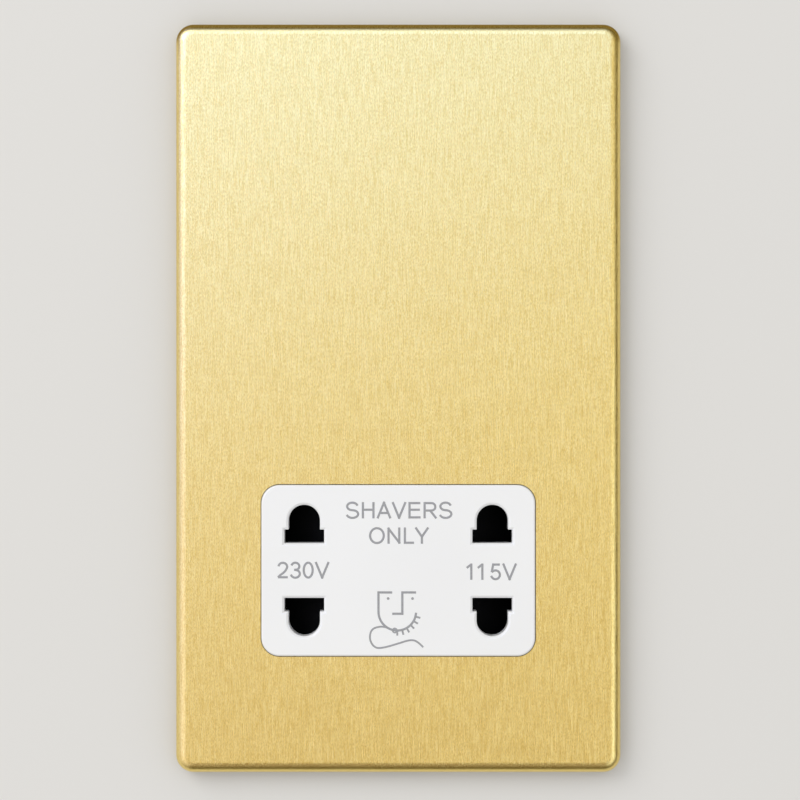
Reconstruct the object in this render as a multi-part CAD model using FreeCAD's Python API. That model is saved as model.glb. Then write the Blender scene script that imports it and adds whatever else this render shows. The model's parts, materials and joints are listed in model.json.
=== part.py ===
import FreeCAD, Part
import math
import os

from FreeCAD import Vector

# A twin-voltage shaver socket for a double wall box, with a clip-on sheet metal plate.
# Millimetres. +X is right and +Z is up, seen from the front; -Y points at the viewer.
# The wall plane is y = 0. The origin is midway between the two box fixing holes.

# Front plate: a sheet pressed into a shallow tray whose rim meets the wall
plate_width = 88.0
plate_height = 148.0
plate_depth = 4.6
sheet = 1.0
plate_corner = 3.5
plate_fold = 2.2
plate_fold_inside = 0.7
lift_notch_width = 8.0
lift_notch_depth = 0.9

# Outlet moulding: a shallow tray turned face out, held by a flange behind the frame
insert_width = 54.0
insert_height = 33.75
insert_corner = 3.6
insert_drop = 33.95
insert_proud = 0.6
insert_edge = 0.3
insert_wall = 2.4
insert_side = 1.8
insert_rib = 1.0
flange = 1.5
flange_side = 2.4
flange_end = 1.0
window_gap = 0.15

# Apertures: an arch for round pins standing on a bar for flat blades
outlet_pitch = 37.1
slot_start = 5.4
bar_width = 7.85
bar_height = 2.67
arch_radius = 3.1
arch_centre = 9.85
aperture_bevel = 0.45
collar_wall = 1.0

# Mounting frame: the moulding that is screwed to the wall box
frame_fit = 0.2
frame_edge = 0.6
sheet_gap = 0.1
frame_wall = 1.5
frame_skirt = 1.6
frame_rib = 1.2
rib_spacing = 30.0
core_post = 4.0
grip_length = 5.0
grip_inset = 22.0
fixing_pitch = 120.6
fixing_hole = 3.9
fixing_head = 8.0
fixing_seat = 1.6
fixing_pad_wall = 1.2

# Shutter: a slider that the pins push sideways, so that one outlet opens at a time
slider_gap = 0.3
slider_depth = 6.1
slider_reach = 22.9
slider_half = 13.7
slider_travel = 8.2
slider_skin = 1.0
slider_wall = 1.2
slider_tip = 0.7
ramp_length = 8.4
spine_half = 4.6
side_fit = 0.1
face_fit = 0.1
pocket_end = 3.4
spring_radius = 2.4
spring_wire = 0.45
spring_turns = 8
spring_room = 0.3
peg_half = 2.0
end_gap = 0.3

# Contact carrier and its cover, held on the insert by two snap legs
carrier_half = 26.0
carrier_rim = 3.6
carrier_face = 1.2
carrier_skin = 1.2
pocket_depth = 8.8
cover = 1.2
pillar_half = 3.5
press_width = 1.6
press_spread = 3.5
leg_half = 1.8
leg_strip = 2.0
leg_inset = 0.5
leg_fit = 0.1
barb_reach = 0.8
barb_length = 1.6
screw_gap = 0.1
thread_gap = 0.05

# Contacts: folded strips with a funnel leaf, and the centre-off switch on the slider
contact_strip = 0.4
contact_width = 6.4
contact_bend = 0.6
contact_fit = 0.2
clip_overlap = 0.7
link_width = 4.3
leaf_throat = 6.6
leaf_depth = 3.4
leaf_end = 6.2
tail_width = 2.2
tail_clear = 0.3
switch_strip = 0.5
switch_width = 2.4
switch_inner = 6.5
switch_outer = 11.5
pad_half = 1.4
pad_slope = 1.2
supply_tail_x = 12.25
load_tail_x = 3.0
common_tail_x = 6.0
bridge_strip = 0.3
bridge_width = 3.0
bridge_seat = 1.6
bridge_wipe = 0.05
bridge_toe = 0.6
bridge_rise = 1.6
stake_side = 1.0

# Rear housing with a shallow outlet part and a deep transformer part
housing_wall = 1.8
housing_corner = 2.0
lead_space = 5.0
housing_depth = 39.0
step_space = 2.95
top_space = 0.15
housing_end_gap = 0.2
rest_rib = 1.5
foot_reach = 3.5
cover_pad = 2.0
vent_width = 2.2
vent_length = 24.0
vent_pitch = 6.0
vent_count = 9
ear_half = 3.5
ear_depth = 2.5
ear_x = 22.0
ear_offset = 3.4
boss_height = 5.0
boss_half = 3.2
housing_screw_radius = 1.45
housing_head_radius = 2.8
housing_head = 1.8
housing_thread = 4.5

# Transformer: a stack of E and I sheets with a split bobbin
core_side_room = 2.9
core_back_room = 9.7
core_bottom = -0.25
core_front = 10.5
core_bevel = 0.5
bracket = 0.8
bracket_tab = 4.4
bobbin_wall = 0.9
bobbin_flange = 1.0
bobbin_gap = 0.2
coil_back_room = 1.7
winding_inset = 0.9
winding_corner = 3.0
tape = 0.3
tape_gap = 0.05
tape_inset = 1.5
pin_rail = 4.0
pin_rail_height = 2.0
pin_side = 0.8
pin_length = 4.0
pin_depth = 1.5
pin_pitch = 6.0
pin_count = 6
cutout_radius = 1.6
cutout_length = 8.0
cutout_wire = 0.7
cutout_wire_length = 2.0

# Terminals on the back of the outlet part
terminal_pitch = 9.0
terminal_width = 6.4
terminal_length = 8.0
terminal_height = 8.6
terminal_rise = 8.0
wire_hole = 4.0
wire_depth = 7.0
wire_floor = 1.2
terminal_screw_radius = 1.75
terminal_head_radius = 2.6
terminal_head = 1.6
terminal_screw_gap = 0.4
terminal_slot = 0.8
block_base = 1.2
block_wall = 1.2
block_fit = 0.1
hook_strip = 1.2
hook_width = 4.0
hook_reach = 0.7
hook_length = 1.4
tail_strip = 0.6
terminal_tail_width = 2.5
strap_strip = 0.5
strap_width = 5.0
strap_foot = 6.0
earth_foot_side = 4.0

# Internal leads
lead_radius = 0.7
lead_bend = 3.0
lead_sides = 6

# Depths, worked out from the wall plane
plate_front = -plate_depth
plate_back = plate_front + sheet
frame_front = plate_back + sheet_gap
frame_back = frame_front + frame_wall
insert_front = plate_front - insert_proud
insert_floor = insert_front + insert_wall
flange_back = frame_back + flange
slider_front = flange_back + slider_gap
slider_back = slider_front + slider_depth
carrier_front = slider_back + face_fit
carrier_floor = carrier_front + carrier_face
cover_front = carrier_floor + pocket_depth
cover_back = cover_front + cover
low_inside = cover_back + lead_space
low_back = low_inside + housing_wall
high_inside = housing_depth - housing_wall
lead_y = cover_back + lead_space / 2
tail_back = lead_y + lead_radius + tail_clear

# Heights and widths, worked out from the outlets and the transformer
outlet_z = -insert_drop
outlet_x = outlet_pitch / 2
ramp_start = slider_reach - ramp_length
spring_pocket = slider_reach - pocket_end
housing_inner = slider_reach + slider_travel + end_gap
housing_outer = housing_inner + housing_wall
core_leg = (housing_inner - core_side_room) / 3
inner_bottom = outlet_z - insert_height / 2 - flange_end - housing_end_gap
outer_bottom = inner_bottom - housing_wall
core_width = 6 * core_leg
core_height = 5 * core_leg
core_top = core_bottom + core_height
core_back = high_inside - core_back_room
core_stack = core_back - core_front
core_mid = (core_front + core_back) / 2
flange_depth = 2 * (high_inside - coil_back_room - core_mid)
window_bottom = core_bottom + core_leg
window_top = core_top - core_leg
inner_top = core_top + bracket + top_space
outer_top = inner_top + housing_wall
step_inside = core_bottom - step_space
step_outside = step_inside - housing_wall
rail_half = slider_half + side_fit
carrier_end = rail_half + carrier_rim
leg_w = rail_half + leg_inset
boss_back = frame_back + boss_height
ear_back = boss_back + ear_depth
terminal_z = outer_bottom + terminal_rise
terminal_tail_z = terminal_z + terminal_length / 2
pin_start = -pin_pitch * (pin_count - 1) / 2


def block(x0, x1, y0, y1, z0, z1):
    return Part.makeBox(x1 - x0, y1 - y0, z1 - z0, Vector(x0, y0, z0))


def rod(x, z, front, back, radius):
    return Part.makeCylinder(radius, back - front, Vector(x, front, z), Vector(0, 1, 0))


def joined(shapes):
    return shapes[0].multiFuse(shapes[1:]).removeSplitter()


def left_and_right(shape):
    return [shape, shape.mirror(Vector(0, 0, 0), Vector(1, 0, 0))]


def above_and_below(shape):
    return [shape, shape.mirror(Vector(0, 0, outlet_z), Vector(0, 0, 1))]


def at_four_corners(shape):
    return [copy for side in left_and_right(shape) for copy in above_and_below(side)]


def slab(width, height, corner, front, back, middle_z):
    """A plate square to Y, with round corners."""
    plain = block(
        -width / 2, width / 2, front, back, middle_z - height / 2, middle_z + height / 2
    )
    corners = [edge for edge in plain.Edges if edge.BoundBox.YLength > (back - front) / 2]
    return plain.makeFillet(corner, corners)


def edges_at(shape, y):
    """The edges that lie wholly in one plane square to Y."""
    return [
        edge
        for edge in shape.Edges
        if abs(edge.BoundBox.YMin - y) < 1e-4 and abs(edge.BoundBox.YMax - y) < 1e-4
    ]


def rounded_path(points, bend):
    """Straight runs joined by tangent arcs of one bend radius."""
    edges = []
    here = points[0]
    for before, corner, after in zip(points, points[1:], points[2:]):
        incoming = (corner - before).normalize()
        outgoing = (after - corner).normalize()
        turn = incoming.getAngle(outgoing)
        reach = bend * math.tan(turn / 2)
        start = corner - incoming * reach
        end = corner + outgoing * reach
        inward = (outgoing - incoming).normalize()
        middle = corner + inward * (bend / math.cos(turn / 2) - bend)
        edges.append(Part.LineSegment(here, start).toShape())
        edges.append(Part.Arc(start, middle, end).toShape())
        here = end
    edges.append(Part.LineSegment(here, points[-1]).toShape())
    return Part.Wire(edges)


def eased_path(points, bend):
    """A folded path with each corner cut by one flat, as long as its bend."""
    eased = [points[0]]
    for before, corner, after in zip(points, points[1:], points[2:]):
        incoming = (corner - before).normalize()
        outgoing = (after - corner).normalize()
        reach = bend * math.tan(incoming.getAngle(outgoing) / 2)
        eased.append(corner - incoming * reach)
        eased.append(corner + outgoing * reach)
    eased.append(points[-1])
    return eased


def folded_strip(points, thickness, bend, across):
    """A strip folded along a flat path; across is its width as a vector."""
    path = eased_path(points, bend)
    flat = Vector(across).normalize()
    runs = [(after - before).normalize() for before, after in zip(path, path[1:])]
    sides = [run.cross(flat) for run in runs]
    one_face = []
    other_face = []
    for index, point in enumerate(path):
        near = sides[max(index - 1, 0)]
        far = sides[min(index, len(sides) - 1)]
        mitre = (near + far) * (thickness / 2 / (1 + near.dot(far)))
        one_face.append(point + mitre - across * 0.5)
        other_face.append(point - mitre - across * 0.5)
    outline = one_face + other_face[::-1]
    return Part.Face(Part.makePolygon(outline + outline[:1])).extrude(across)


def wire_lead(points):
    """An insulated lead with six flats, along straight runs and tangent arcs."""
    run = (points[1] - points[0]).normalize()
    side = run.cross(Vector(1, 0, 0)).normalize()
    other = run.cross(side)
    corners = []
    for index in range(lead_sides):
        angle = 2 * math.pi * (index + 0.5) / lead_sides
        step = side * math.cos(angle) + other * math.sin(angle)
        corners.append(points[0] + step * lead_radius)
    section = Part.makePolygon(corners + corners[:1])
    return rounded_path(points, lead_bend).makePipeShell([section], True, False)


def aperture_outline(y, grow):
    """One aperture of the right-hand outlet, its arch pointing up."""
    half_bar = bar_width / 2 + grow
    half_arch = arch_radius + grow
    foot = outlet_z + slot_start - grow
    shoulder = outlet_z + slot_start + bar_height + grow
    spring_line = outlet_z + arch_centre
    crown = Vector(outlet_x, y, spring_line + half_arch)

    def at(x, z):
        return Vector(outlet_x + x, y, z)

    left_side = [at(-half_arch, spring_line), at(-half_arch, shoulder), at(-half_bar, shoulder)]
    bottom = [at(-half_bar, foot), at(half_bar, foot)]
    right_side = [at(half_bar, shoulder), at(half_arch, shoulder), at(half_arch, spring_line)]
    corners = left_side + bottom + right_side
    lines = [Part.LineSegment(a, b).toShape() for a, b in zip(corners, corners[1:])]
    arch = Part.Arc(corners[-1], crown, corners[0]).toShape()
    return Part.Wire(lines + [arch])


def aperture_prism(front, back, grow):
    return Part.Face(aperture_outline(front, grow)).extrude(Vector(0, back - front, 0))


def aperture_mouth():
    """The bevelled edge round an aperture at the face of the insert."""
    outer = aperture_outline(insert_front, aperture_bevel)
    inner = aperture_outline(insert_front + aperture_bevel, 0.0)
    return Part.makeLoft([outer, inner], True, True)


def front_plate():
    outer = slab(plate_width, plate_height, plate_corner, plate_front, 0.0, 0.0)
    outer = outer.makeFillet(plate_fold, edges_at(outer, plate_front))
    inner = slab(
        plate_width - 2 * sheet,
        plate_height - 2 * sheet,
        plate_corner - sheet,
        plate_back,
        sheet,
        0.0,
    )
    inner = inner.makeChamfer(plate_fold_inside, edges_at(inner, plate_back))
    window = slab(
        insert_width + 2 * window_gap,
        insert_height + 2 * window_gap,
        insert_corner + window_gap,
        plate_front - sheet,
        plate_back + sheet,
        outlet_z,
    )
    notch = block(
        -lift_notch_width / 2,
        lift_notch_width / 2,
        -lift_notch_depth,
        sheet,
        -plate_height / 2 - sheet,
        -plate_height / 2 + 2 * sheet,
    )
    return outer.cut([inner, window, notch])


def frame_shell():
    """The frame's wall and skirt, before anything is added to it."""
    width = plate_width - 2 * sheet - 2 * frame_fit
    height = plate_height - 2 * sheet - 2 * frame_fit
    corner = plate_corner - sheet - frame_fit
    outer = slab(width, height, corner, frame_front, 0.0, 0.0)
    outer = outer.makeChamfer(frame_edge, edges_at(outer, frame_front))
    hollow = slab(
        width - 2 * frame_skirt,
        height - 2 * frame_skirt,
        corner - frame_skirt / 2,
        frame_back,
        frame_skirt,
        0.0,
    )
    return outer.cut(hollow)


def grip_ribs():
    """Small ribs on the skirt that the plate's rim grips."""
    reach = plate_width / 2 - sheet
    top = plate_height / 2 - sheet
    low = frame_back
    side = block(reach - frame_fit, reach, low, 0.0, -grip_length / 2, grip_length / 2)
    ends = block(-grip_length / 2, grip_length / 2, low, 0.0, top - frame_fit, top)
    ribs = []
    for shift in (-2 * grip_inset, 0.0, 2 * grip_inset):
        ribs += left_and_right(side.translated(Vector(0, 0, shift)))
    for shift in (-grip_inset, grip_inset):
        upper = ends.translated(Vector(shift, 0, 0))
        ribs += [upper, upper.mirror(Vector(0, 0, 0), Vector(0, 0, 1))]
    return ribs


def housing_fence():
    """A low rib round the foot of the housing, open where its ears and the strap pass."""
    near = housing_outer + frame_fit
    far = near + frame_rib
    top = outer_top + frame_fit
    bottom = outer_bottom - frame_fit
    ring = block(-far, far, frame_back, 0.0, bottom - frame_rib, top + frame_rib)
    room = block(-near, near, frame_back, 0.0, bottom, top)
    fence = ring.cut(room)
    gap = ear_half + frame_fit
    deep = 2 * frame_rib
    for z in (top, bottom):
        opening = block(ear_x - gap, ear_x + gap, frame_back, 0.0, z - deep, z + deep)
        fence = fence.cut(left_and_right(opening))
    return [fence.cut(strap_room())]


def strap_room():
    """The way through the frame for the earth strap, with a bed for its foot."""
    x0 = terminal_pitch - strap_width / 2 - screw_gap
    x1 = terminal_pitch + strap_width / 2 + screw_gap
    top = outer_bottom + screw_gap
    slot_end = outer_bottom - 3 * strap_strip
    bed_end = outer_bottom - strap_foot - strap_strip
    slot = block(x0, x1, plate_back, ear_back, slot_end, top)
    bed = block(x0, x1, plate_back, plate_back + strap_strip + screw_gap, bed_end, top)
    return slot.fuse(bed)


def stiffening_ribs():
    """Ribs that tie the fence round the housing to the skirt."""
    side_end = plate_width / 2 - sheet - frame_fit - frame_skirt
    side_start = housing_outer + frame_fit
    end_top = plate_height / 2 - sheet - frame_fit - frame_skirt
    fence_top = outer_top + frame_fit + frame_rib
    fence_bottom = outer_bottom - frame_fit - frame_rib
    half = frame_rib / 2
    ribs = []
    for step in (-1.5, -0.5, 0.5, 1.5):
        z = step * rib_spacing
        across = block(side_start, side_end, frame_back, 0.0, z - half, z + half)
        ribs += left_and_right(across)
    for x in (ear_x / 2, 1.5 * ear_x):
        over = block(x - half, x + half, frame_back, 0.0, fence_top, end_top)
        under = block(x - half, x + half, frame_back, 0.0, -end_top, fence_bottom)
        ribs += left_and_right(over) + left_and_right(under)
    return ribs


def core_posts():
    """Posts that hold the transformer core back against its rests."""
    half = core_post / 2
    x = core_width / 2 - core_leg / 2
    posts = []
    for z in post_heights():
        post = block(x - half, x + half, frame_back, core_front, z - half, z + half)
        posts += left_and_right(post)
    return posts


def post_heights():
    return (core_bottom + core_height / 4, core_top - core_height / 4)


def ear_places():
    return [
        (side * ear_x, z)
        for side in (-1, 1)
        for z in (outer_top + ear_offset, outer_bottom - ear_offset)
    ]


def mounting_frame():
    body = frame_shell()
    added = grip_ribs() + housing_fence() + stiffening_ribs() + core_posts()
    removed = [strap_room()]
    for side in (-1, 1):
        z = side * fixing_pitch / 2
        pad = fixing_head / 2 + fixing_pad_wall
        added.append(block(-pad, pad, frame_front, 0.0, z - pad, z + pad))
        removed.append(rod(0.0, z, frame_front - sheet, -fixing_seat, fixing_head / 2))
        removed.append(rod(0.0, z, frame_front - sheet, sheet, fixing_hole / 2))
    for x, z in ear_places():
        added.append(
            block(x - boss_half, x + boss_half, frame_back, boss_back, z - boss_half, z + boss_half)
        )
        tip = boss_back - housing_thread - screw_gap
        removed.append(rod(x, z, tip, ear_back, housing_screw_radius + thread_gap))
    removed.append(
        slab(
            insert_width + 2 * window_gap,
            insert_height + 2 * window_gap,
            insert_corner + window_gap,
            frame_front - sheet,
            frame_back + sheet,
            outlet_z,
        )
    )
    return joined([body] + added).cut(removed)


def snap_legs():
    """Two barbed legs of the insert that hold the carrier and its cover."""
    near = outlet_z + leg_w
    far = near + leg_strip
    leg = block(-leg_half, leg_half, insert_floor, cover_back + barb_length, near, far)
    barb = Part.makePolygon(
        [
            Vector(-leg_half, cover_back, far),
            Vector(-leg_half, cover_back, far + barb_reach),
            Vector(-leg_half, cover_back + barb_length, far),
            Vector(-leg_half, cover_back, far),
        ]
    )
    leg = joined([leg, Part.Face(barb).extrude(Vector(2 * leg_half, 0, 0))])
    return above_and_below(leg)


def leg_way(front, back, play):
    """The passage for one snap leg, with play for the leg to bend inwards."""
    near = outlet_z + leg_w - leg_fit - play
    far = outlet_z + leg_w + leg_strip + leg_fit
    way = block(-leg_half - leg_fit, leg_half + leg_fit, front, back, near, far)
    return above_and_below(way)


def socket_insert():
    body = slab(insert_width, insert_height, insert_corner, insert_front, flange_back, outlet_z)
    body = body.makeChamfer(insert_edge, edges_at(body, insert_front))
    rim = slab(
        insert_width + 2 * flange_side,
        insert_height + 2 * flange_end,
        insert_corner,
        frame_back,
        flange_back,
        outlet_z,
    )
    hollow = slab(
        insert_width - 2 * insert_side,
        insert_height - 2 * insert_side,
        insert_corner - insert_side,
        insert_floor,
        flange_back,
        outlet_z,
    )
    body = joined([body, rim]).cut(hollow)
    collar = block(
        outlet_x - bar_width / 2 - collar_wall,
        outlet_x + bar_width / 2 + collar_wall,
        insert_floor,
        flange_back,
        outlet_z + slot_start - collar_wall,
        outlet_z + arch_centre + arch_radius + collar_wall,
    )
    collars = at_four_corners(collar)
    upright = block(
        -insert_rib / 2,
        insert_rib / 2,
        insert_floor,
        frame_back,
        outlet_z - insert_height / 2 + insert_side,
        outlet_z + insert_height / 2 - insert_side,
    )
    level = block(
        insert_side - insert_width / 2,
        insert_width / 2 - insert_side,
        insert_floor,
        frame_back,
        outlet_z - insert_rib / 2,
        outlet_z + insert_rib / 2,
    )
    body = joined([body, upright, level] + collars + snap_legs())
    holes = at_four_corners(aperture_prism(insert_front - sheet, flange_back + sheet, 0.0))
    mouths = at_four_corners(aperture_mouth())
    return body.cut(holes + mouths)


def slider_ramp():
    """The wedge cut away in front of one aperture of the right-hand outlet."""
    tip = slider_back - slider_tip
    outline = Part.makePolygon(
        [
            Vector(ramp_start, slider_front, outlet_z + spine_half),
            Vector(slider_reach, tip, outlet_z + spine_half),
            Vector(slider_reach, slider_front - sheet, outlet_z + spine_half),
            Vector(ramp_start, slider_front - sheet, outlet_z + spine_half),
            Vector(ramp_start, slider_front, outlet_z + spine_half),
        ]
    )
    return Part.Face(outline).extrude(Vector(0, 0, slider_half))


def shutter_slider():
    body = block(
        -slider_reach,
        slider_reach,
        slider_front,
        slider_back,
        outlet_z - slider_half,
        outlet_z + slider_half,
    )
    pocket_half = spring_radius + spring_room
    spring_way = block(
        -spring_pocket,
        spring_pocket,
        slider_front + slider_skin,
        slider_back,
        outlet_z - pocket_half,
        outlet_z + pocket_half,
    )
    core_out = block(
        bridge_width / 2 + slider_wall,
        ramp_start - slider_wall,
        slider_front + slider_skin,
        slider_back,
        outlet_z + spine_half + slider_wall,
        outlet_z + slider_half - slider_wall,
    )
    body = body.cut(at_four_corners(slider_ramp()) + [spring_way] + at_four_corners(core_out))
    bridge_mid = (switch_inner + switch_outer) / 2
    reach = (switch_outer - switch_inner) / 2 + pad_half
    bed = block(
        -bridge_width / 2 - side_fit,
        bridge_width / 2 + side_fit,
        slider_back - bridge_seat,
        slider_back,
        outlet_z + bridge_mid - reach,
        outlet_z + bridge_mid + reach,
    )
    stake = block(
        -stake_side / 2,
        stake_side / 2,
        slider_back - bridge_seat,
        slider_back - bridge_seat + 3 * bridge_strip,
        outlet_z + bridge_mid - stake_side / 2,
        outlet_z + bridge_mid + stake_side / 2,
    )
    return body.cut(bed).fuse(stake)


def shutter_spring(side):
    """A compression spring between the slider's pocket and the carrier's peg."""
    points_per_turn = 7
    sides = 4
    radius = spring_radius - spring_wire / 2
    start = peg_half + spring_wire / 2
    length = spring_pocket - peg_half - spring_wire
    middle_y = slider_front + slider_skin + spring_room + spring_radius
    count = spring_turns * points_per_turn
    rings = []
    for index in range(count + 1):
        angle = 2 * math.pi * index / points_per_turn
        outward = Vector(0, math.cos(angle), math.sin(angle))
        along = start + length * index / count
        centre = Vector(side * along, middle_y, outlet_z) + outward * radius
        ring = []
        for corner in range(sides):
            turn = 2 * math.pi * corner / sides
            step = outward * math.cos(turn) + Vector(side * math.sin(turn), 0, 0)
            ring.append(centre + step * (spring_wire / 2))
        rings.append(ring)
    faces = [Part.Face(Part.makePolygon(end + end[:1])) for end in (rings[0], rings[-1])]
    for near, far in zip(rings, rings[1:]):
        for corner in range(sides):
            after = (corner + 1) % sides
            for flat in ((near[corner], near[after], far[after]), (near[corner], far[after], far[corner])):
                faces.append(Part.Face(Part.makePolygon(list(flat) + [flat[0]])))
    shell = Part.makeShell(faces)
    shell.sewShape()
    solid = Part.makeSolid(shell)
    if solid.Volume < 0:
        solid.reverse()
    return solid


def contact_pocket(front, back, room):
    """Room for one contact of the right-hand outlet, above its centre."""
    half = contact_width / 2 + room
    return block(
        outlet_x - half,
        outlet_x + half,
        front,
        back,
        outlet_z + clip_inner() - room,
        outlet_z + clip_outer() + room,
    )


def clip_inner():
    return slot_start - clip_overlap


def clip_outer():
    return slider_half - contact_strip / 4


def contact_carrier():
    rail_end = outlet_z + carrier_end
    body = block(
        -carrier_half, carrier_half, flange_back, cover_front, 2 * outlet_z - rail_end, rail_end
    )
    channel = block(
        -carrier_half,
        carrier_half,
        flange_back,
        carrier_front,
        outlet_z - rail_half,
        outlet_z + rail_half,
    )
    body = body.cut(channel)
    pockets = at_four_corners(contact_pocket(carrier_floor, cover_front, contact_fit))
    pin_ways = at_four_corners(
        block(
            outlet_x - contact_width / 2,
            outlet_x + contact_width / 2,
            carrier_front,
            carrier_floor,
            outlet_z + slot_start - contact_fit,
            outlet_z + arch_centre + arch_radius + contact_fit,
        )
    )
    bay_end = outlet_x - contact_width / 2 - contact_fit - carrier_skin
    bay = block(
        carrier_skin / 2,
        bay_end,
        carrier_floor,
        cover_front,
        outlet_z + clip_inner(),
        outlet_z + clip_outer(),
    )
    bays = at_four_corners(bay)
    skirt = carrier_end - carrier_rim + carrier_skin
    shoulder = block(
        pillar_half,
        carrier_half,
        carrier_floor,
        cover_front,
        outlet_z + skirt,
        outlet_z + carrier_end,
    )
    relief = at_four_corners(shoulder)
    body = body.cut(pockets + pin_ways + bays + relief + strip_ways() + link_way())
    ways = leg_way(flange_back, carrier_front, 0.0)
    ways += leg_way(carrier_front, cover_front, barb_reach)
    peg = block(
        -peg_half,
        peg_half,
        slider_front + slider_skin + spring_room,
        carrier_front,
        outlet_z - spring_radius,
        outlet_z + spring_radius,
    )
    return joined([body.cut(ways), peg])


def strip_ways():
    """Windows for the switch pads, and notches where the strips cross the middle rib."""
    ways = []
    for height in (switch_inner, switch_outer):
        z0 = outlet_z + height - switch_width / 2 - contact_fit
        z1 = outlet_z + height + switch_width / 2 + contact_fit
        near = slider_travel - pad_half - pad_slope - contact_fit
        far = slider_travel + pad_half + pad_slope + contact_fit
        ways += left_and_right(block(near, far, carrier_front, carrier_floor, z0, z1))
        run = carrier_floor + switch_strip + contact_fit
        ways.append(block(-near, near, carrier_floor, run, z0, z1))
    return ways


def link_way():
    """The trough for the link between the two common contacts."""
    reach = outlet_x - contact_width / 2
    return [
        block(
            -reach,
            reach,
            cover_front - contact_strip - 2 * contact_fit,
            cover_front,
            outlet_z - link_middle() - link_width / 2 - contact_fit,
            outlet_z - link_middle() + link_width / 2 + contact_fit,
        )
    ]


def link_middle():
    return (clip_inner() + clip_outer()) / 2


def contact_cover():
    half = carrier_end - carrier_rim + carrier_skin
    body = block(
        -carrier_half, carrier_half, cover_front, cover_back, outlet_z - half, outlet_z + half
    )
    lug = block(
        -pillar_half, pillar_half, cover_front, cover_back, outlet_z, outlet_z + carrier_end
    )
    body = joined([body] + above_and_below(lug) + cover_presses())
    slots = []
    for x, height, width, thickness in tail_places():
        slots.append(
            block(
                x - width / 2 - contact_fit,
                x + width / 2 + contact_fit,
                cover_front,
                cover_back,
                outlet_z + height - thickness / 2 - contact_fit,
                outlet_z + height + thickness / 2 + contact_fit,
            )
        )
    return body.cut(leg_way(cover_front, cover_back, barb_reach) + slots)


def cover_presses():
    """Fingers of the cover that hold the two switch strips down."""
    places = [
        (-pad_half, switch_inner),
        (pad_half - slider_travel, switch_inner),
        (-press_spread, switch_outer),
        (press_spread, switch_outer),
    ]
    fingers = []
    for x, height in places:
        z0 = outlet_z + height - switch_width / 2
        z1 = outlet_z + height + switch_width / 2
        top = carrier_floor + switch_strip
        fingers.append(block(x - press_width / 2, x + press_width / 2, top, cover_front, z0, z1))
    return fingers


def tail_places():
    """Where each tail passes the cover: x, height over the outlets, width and thickness."""
    return [
        (-outlet_x, link_middle(), tail_width, contact_strip),
        (outlet_x, link_middle(), tail_width, contact_strip),
        (common_tail_x, -link_middle(), tail_width, contact_strip),
        (-supply_tail_x, switch_outer, switch_strip, switch_width),
        (load_tail_x, switch_inner, switch_strip, switch_width),
    ]


def tail(x, height, start):
    return block(
        x - tail_width / 2,
        x + tail_width / 2,
        start,
        tail_back,
        outlet_z + height - contact_strip / 2,
        outlet_z + height + contact_strip / 2,
    )


def contact_clip():
    """A folded clip of the right-hand outlet, above its centre, with its funnel leaf."""
    half = contact_strip / 2
    base = cover_front - contact_fit / 2 - half
    front = carrier_floor + contact_fit / 2
    inner = outlet_z + clip_inner() + half
    outer = outlet_z + clip_outer() - half
    throat = outlet_z + leaf_throat + half
    path = [
        Vector(outlet_x, front, inner),
        Vector(outlet_x, base, inner),
        Vector(outlet_x, base, outer),
        Vector(outlet_x, front + half, outer),
        Vector(outlet_x, front + leaf_depth, throat),
        Vector(outlet_x, front + leaf_end, throat + contact_strip),
    ]
    return folded_strip(path, contact_strip, contact_bend, Vector(contact_width, 0, 0))


def contact_115():
    base = cover_front - contact_fit / 2 - contact_strip / 2
    return joined([contact_clip(), tail(outlet_x, link_middle(), base)])


def contact_230():
    return contact_115().mirror(Vector(0, 0, 0), Vector(1, 0, 0))


def contact_common():
    base = cover_front - contact_fit / 2 - contact_strip
    reach = outlet_x - contact_width / 4
    link = block(
        -reach,
        reach,
        base,
        base + contact_strip,
        outlet_z - link_middle() - link_width / 2,
        outlet_z - link_middle() + link_width / 2,
    )
    low = contact_clip().mirror(Vector(0, 0, outlet_z), Vector(0, 0, 1))
    return joined(left_and_right(low) + [link, tail(common_tail_x, -link_middle(), base)])


def switch_path(height):
    """Half a fixed switch strip, from its middle to the end of one pad."""
    pad = carrier_front + switch_strip / 2
    run = carrier_floor + switch_strip / 2
    z = outlet_z + height
    return [
        Vector(slider_travel + pad_half, pad, z),
        Vector(slider_travel - pad_half, pad, z),
        Vector(slider_travel - pad_half - pad_slope, run, z),
    ]


def switch_strip_body(height):
    path = switch_path(height)
    other = [Vector(-point.x, point.y, point.z) for point in reversed(path)]
    return path + other


def switch_strip_supply():
    path = switch_strip_body(switch_outer)
    run = carrier_floor + switch_strip / 2
    z = outlet_z + switch_outer
    path += [
        Vector(-slider_travel - pad_half - pad_slope, run, z),
        Vector(-supply_tail_x, run, z),
        Vector(-supply_tail_x, tail_back, z),
    ]
    return folded_strip(path, switch_strip, switch_strip, Vector(0, 0, switch_width))


def switch_strip_load():
    strip = folded_strip(
        switch_strip_body(switch_inner), switch_strip, switch_strip, Vector(0, 0, switch_width)
    )
    tab = block(
        load_tail_x - switch_strip / 2,
        load_tail_x + switch_strip / 2,
        carrier_floor,
        tail_back,
        outlet_z + switch_inner - switch_width / 2,
        outlet_z + switch_inner + switch_width / 2,
    )
    return joined([strip, tab])


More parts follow.
